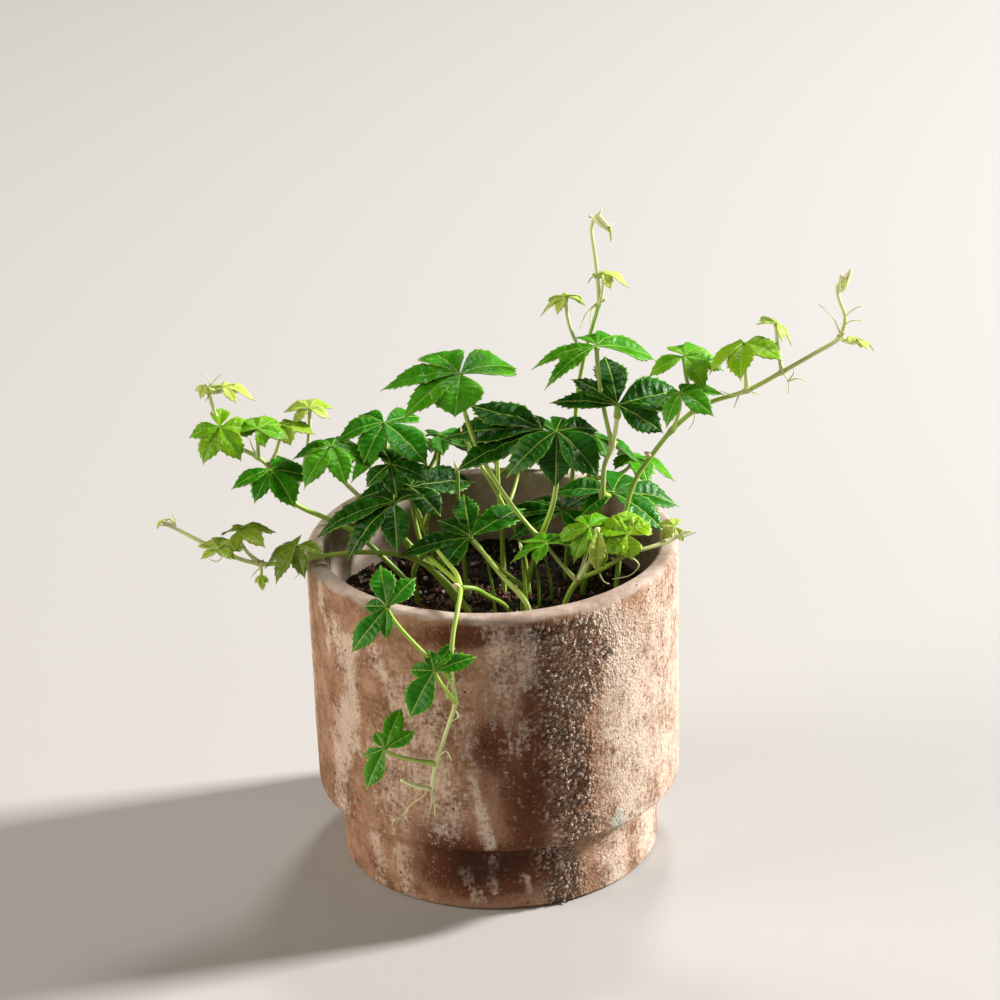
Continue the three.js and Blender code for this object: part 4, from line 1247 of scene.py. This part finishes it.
for position, code in ((0.25, "#2b8a04"), (0.5, "#5cb20a"), (0.75, "#9ccd1c")):
    ramp.new(position).color = linear(code)
shifted = add(leaf_top, "Math", {0: rung, 1: 0.25}, operation="SUBTRACT")
cycle = add(leaf_top, "Math", {0: shifted}, operation="FRACT")
centred = add(leaf_top, "Math", {0: cycle, 1: 0.5}, operation="SUBTRACT")
from_rib, from_vein, from_middle = [
    add(leaf_top, "Math", {0: off}, operation="ABSOLUTE") for off in (reach, centred, across)
]
# each line and the gloss: what it follows, the low and the high end of that, and the share at both
rib, vein, pale_margin_and_glint, gloss = [
    add(
        leaf_top,
        "MapRange",
        {"Value": source, "From Min": low, "From Max": high, "To Min": at_low, "To Max": at_high},
    )
    for source, low, high, at_low, at_high in (
        (from_rib, 0.1, 0.27, 0.75, 0.0),
        (from_vein, 0.0, 0.06, 0.2, 0.0),
        # the pale margin: the leaf's own pale edge and a painted highlight where the edge catches the light
        (from_middle, 0.92, 0.99, 0.0, 0.45),
        (blotch, 0.38, 0.62, 0.14, 0.36),
    )
]
lines = add(leaf_top, "Math", {0: rib, 1: vein}, operation="MAXIMUM")
pale = add(leaf_top, "Math", {0: lines, 1: pale_margin_and_glint}, operation="MAXIMUM")
veined = add(leaf_top, "Mix", {0: pale, 6: top_colour, 7: linear("#bfdb62")}, data_type="RGBA")
bronzed = add(leaf_top, "Mix", {0: bronze, 6: veined, 7: linear("#6f5f14")}, data_type="RGBA")
leaf_bump = add(leaf_top, "Bump", {"Height": cells, "Strength": 0.7, "Distance": 0.6 * MM})
top_face = add(
    leaf_top,
    "BsdfPrincipled",
    {"Base Color": bronzed, "Roughness": gloss, "Specular IOR Level": 0.3, "Normal": leaf_bump},
)
glow = add(leaf_top, "BsdfTranslucent", {"Color": bronzed})
top_mix = add(leaf_top, "MixShader", {0: GLOW, 1: top_face, 2: glow})
add(leaf_top, "OutputMaterial", {"Surface": top_mix})

# the under face: paler and dull, with raised veins, and the same light through it
leaf_back = blank("leaf_under_face")
age = add(leaf_back, "Attribute", attribute_name="youth").outputs["Fac"]
back_reach = add(leaf_back, "Attribute", attribute_name="reach").outputs["Fac"]
back_colour = add(leaf_back, "ValToRGB", {"Fac": age})
ramp = back_colour.color_ramp.elements
ramp[0].position, ramp[0].color = 0.0, linear("#4b7d34")
ramp[1].position, ramp[1].color = 1.0, linear("#c0d46c")
back_from_rib = add(leaf_back, "Math", {0: back_reach}, operation="ABSOLUTE")
back_rib = add(
    leaf_back,
    "MapRange",
    {"Value": back_from_rib, "From Min": 0.2, "From Max": 0.45, "To Min": 0.8, "To Max": 0.0},
)
back_veined = add(leaf_back, "Mix", {0: back_rib, 6: back_colour, 7: linear("#b7cf7e")}, data_type="RGBA")
back_face = add(leaf_back, "BsdfPrincipled", {"Base Color": back_veined, "Roughness": 0.6})
back_glow = add(leaf_back, "BsdfTranslucent", {"Color": back_veined})
back_mix = add(leaf_back, "MixShader", {0: GLOW, 1: back_face, 2: back_glow})
add(leaf_back, "OutputMaterial", {"Surface": back_mix})

# bud scales and stipules: thin and papery, pale or red-brown
papery = blank("bud_scale")
where = add(papery, "TexCoord").outputs["Object"]
paper = add(papery, "TexNoise", {"Vector": where, "Scale": per_metre / 1.0, "Detail": 2.0})
redness = add(papery, "Attribute", attribute_name="bronze").outputs["Fac"]
pale_scale = add(papery, "Mix", {0: paper, 6: linear("#c3c07c"), 7: linear("#ece6c2")}, data_type="RGBA")
paper_colour = add(papery, "Mix", {0: redness, 6: pale_scale, 7: linear("#b8532c")}, data_type="RGBA")
paper_face = add(papery, "BsdfPrincipled", {"Base Color": paper_colour, "Roughness": 0.6})
add(papery, "OutputMaterial", {"Surface": paper_face})

dice = random.Random(SHOOT_SEED)
for shoot in SHOOTS:
    grow_shoot(shoot, [skin, leaf_top, leaf_back, papery], dice)
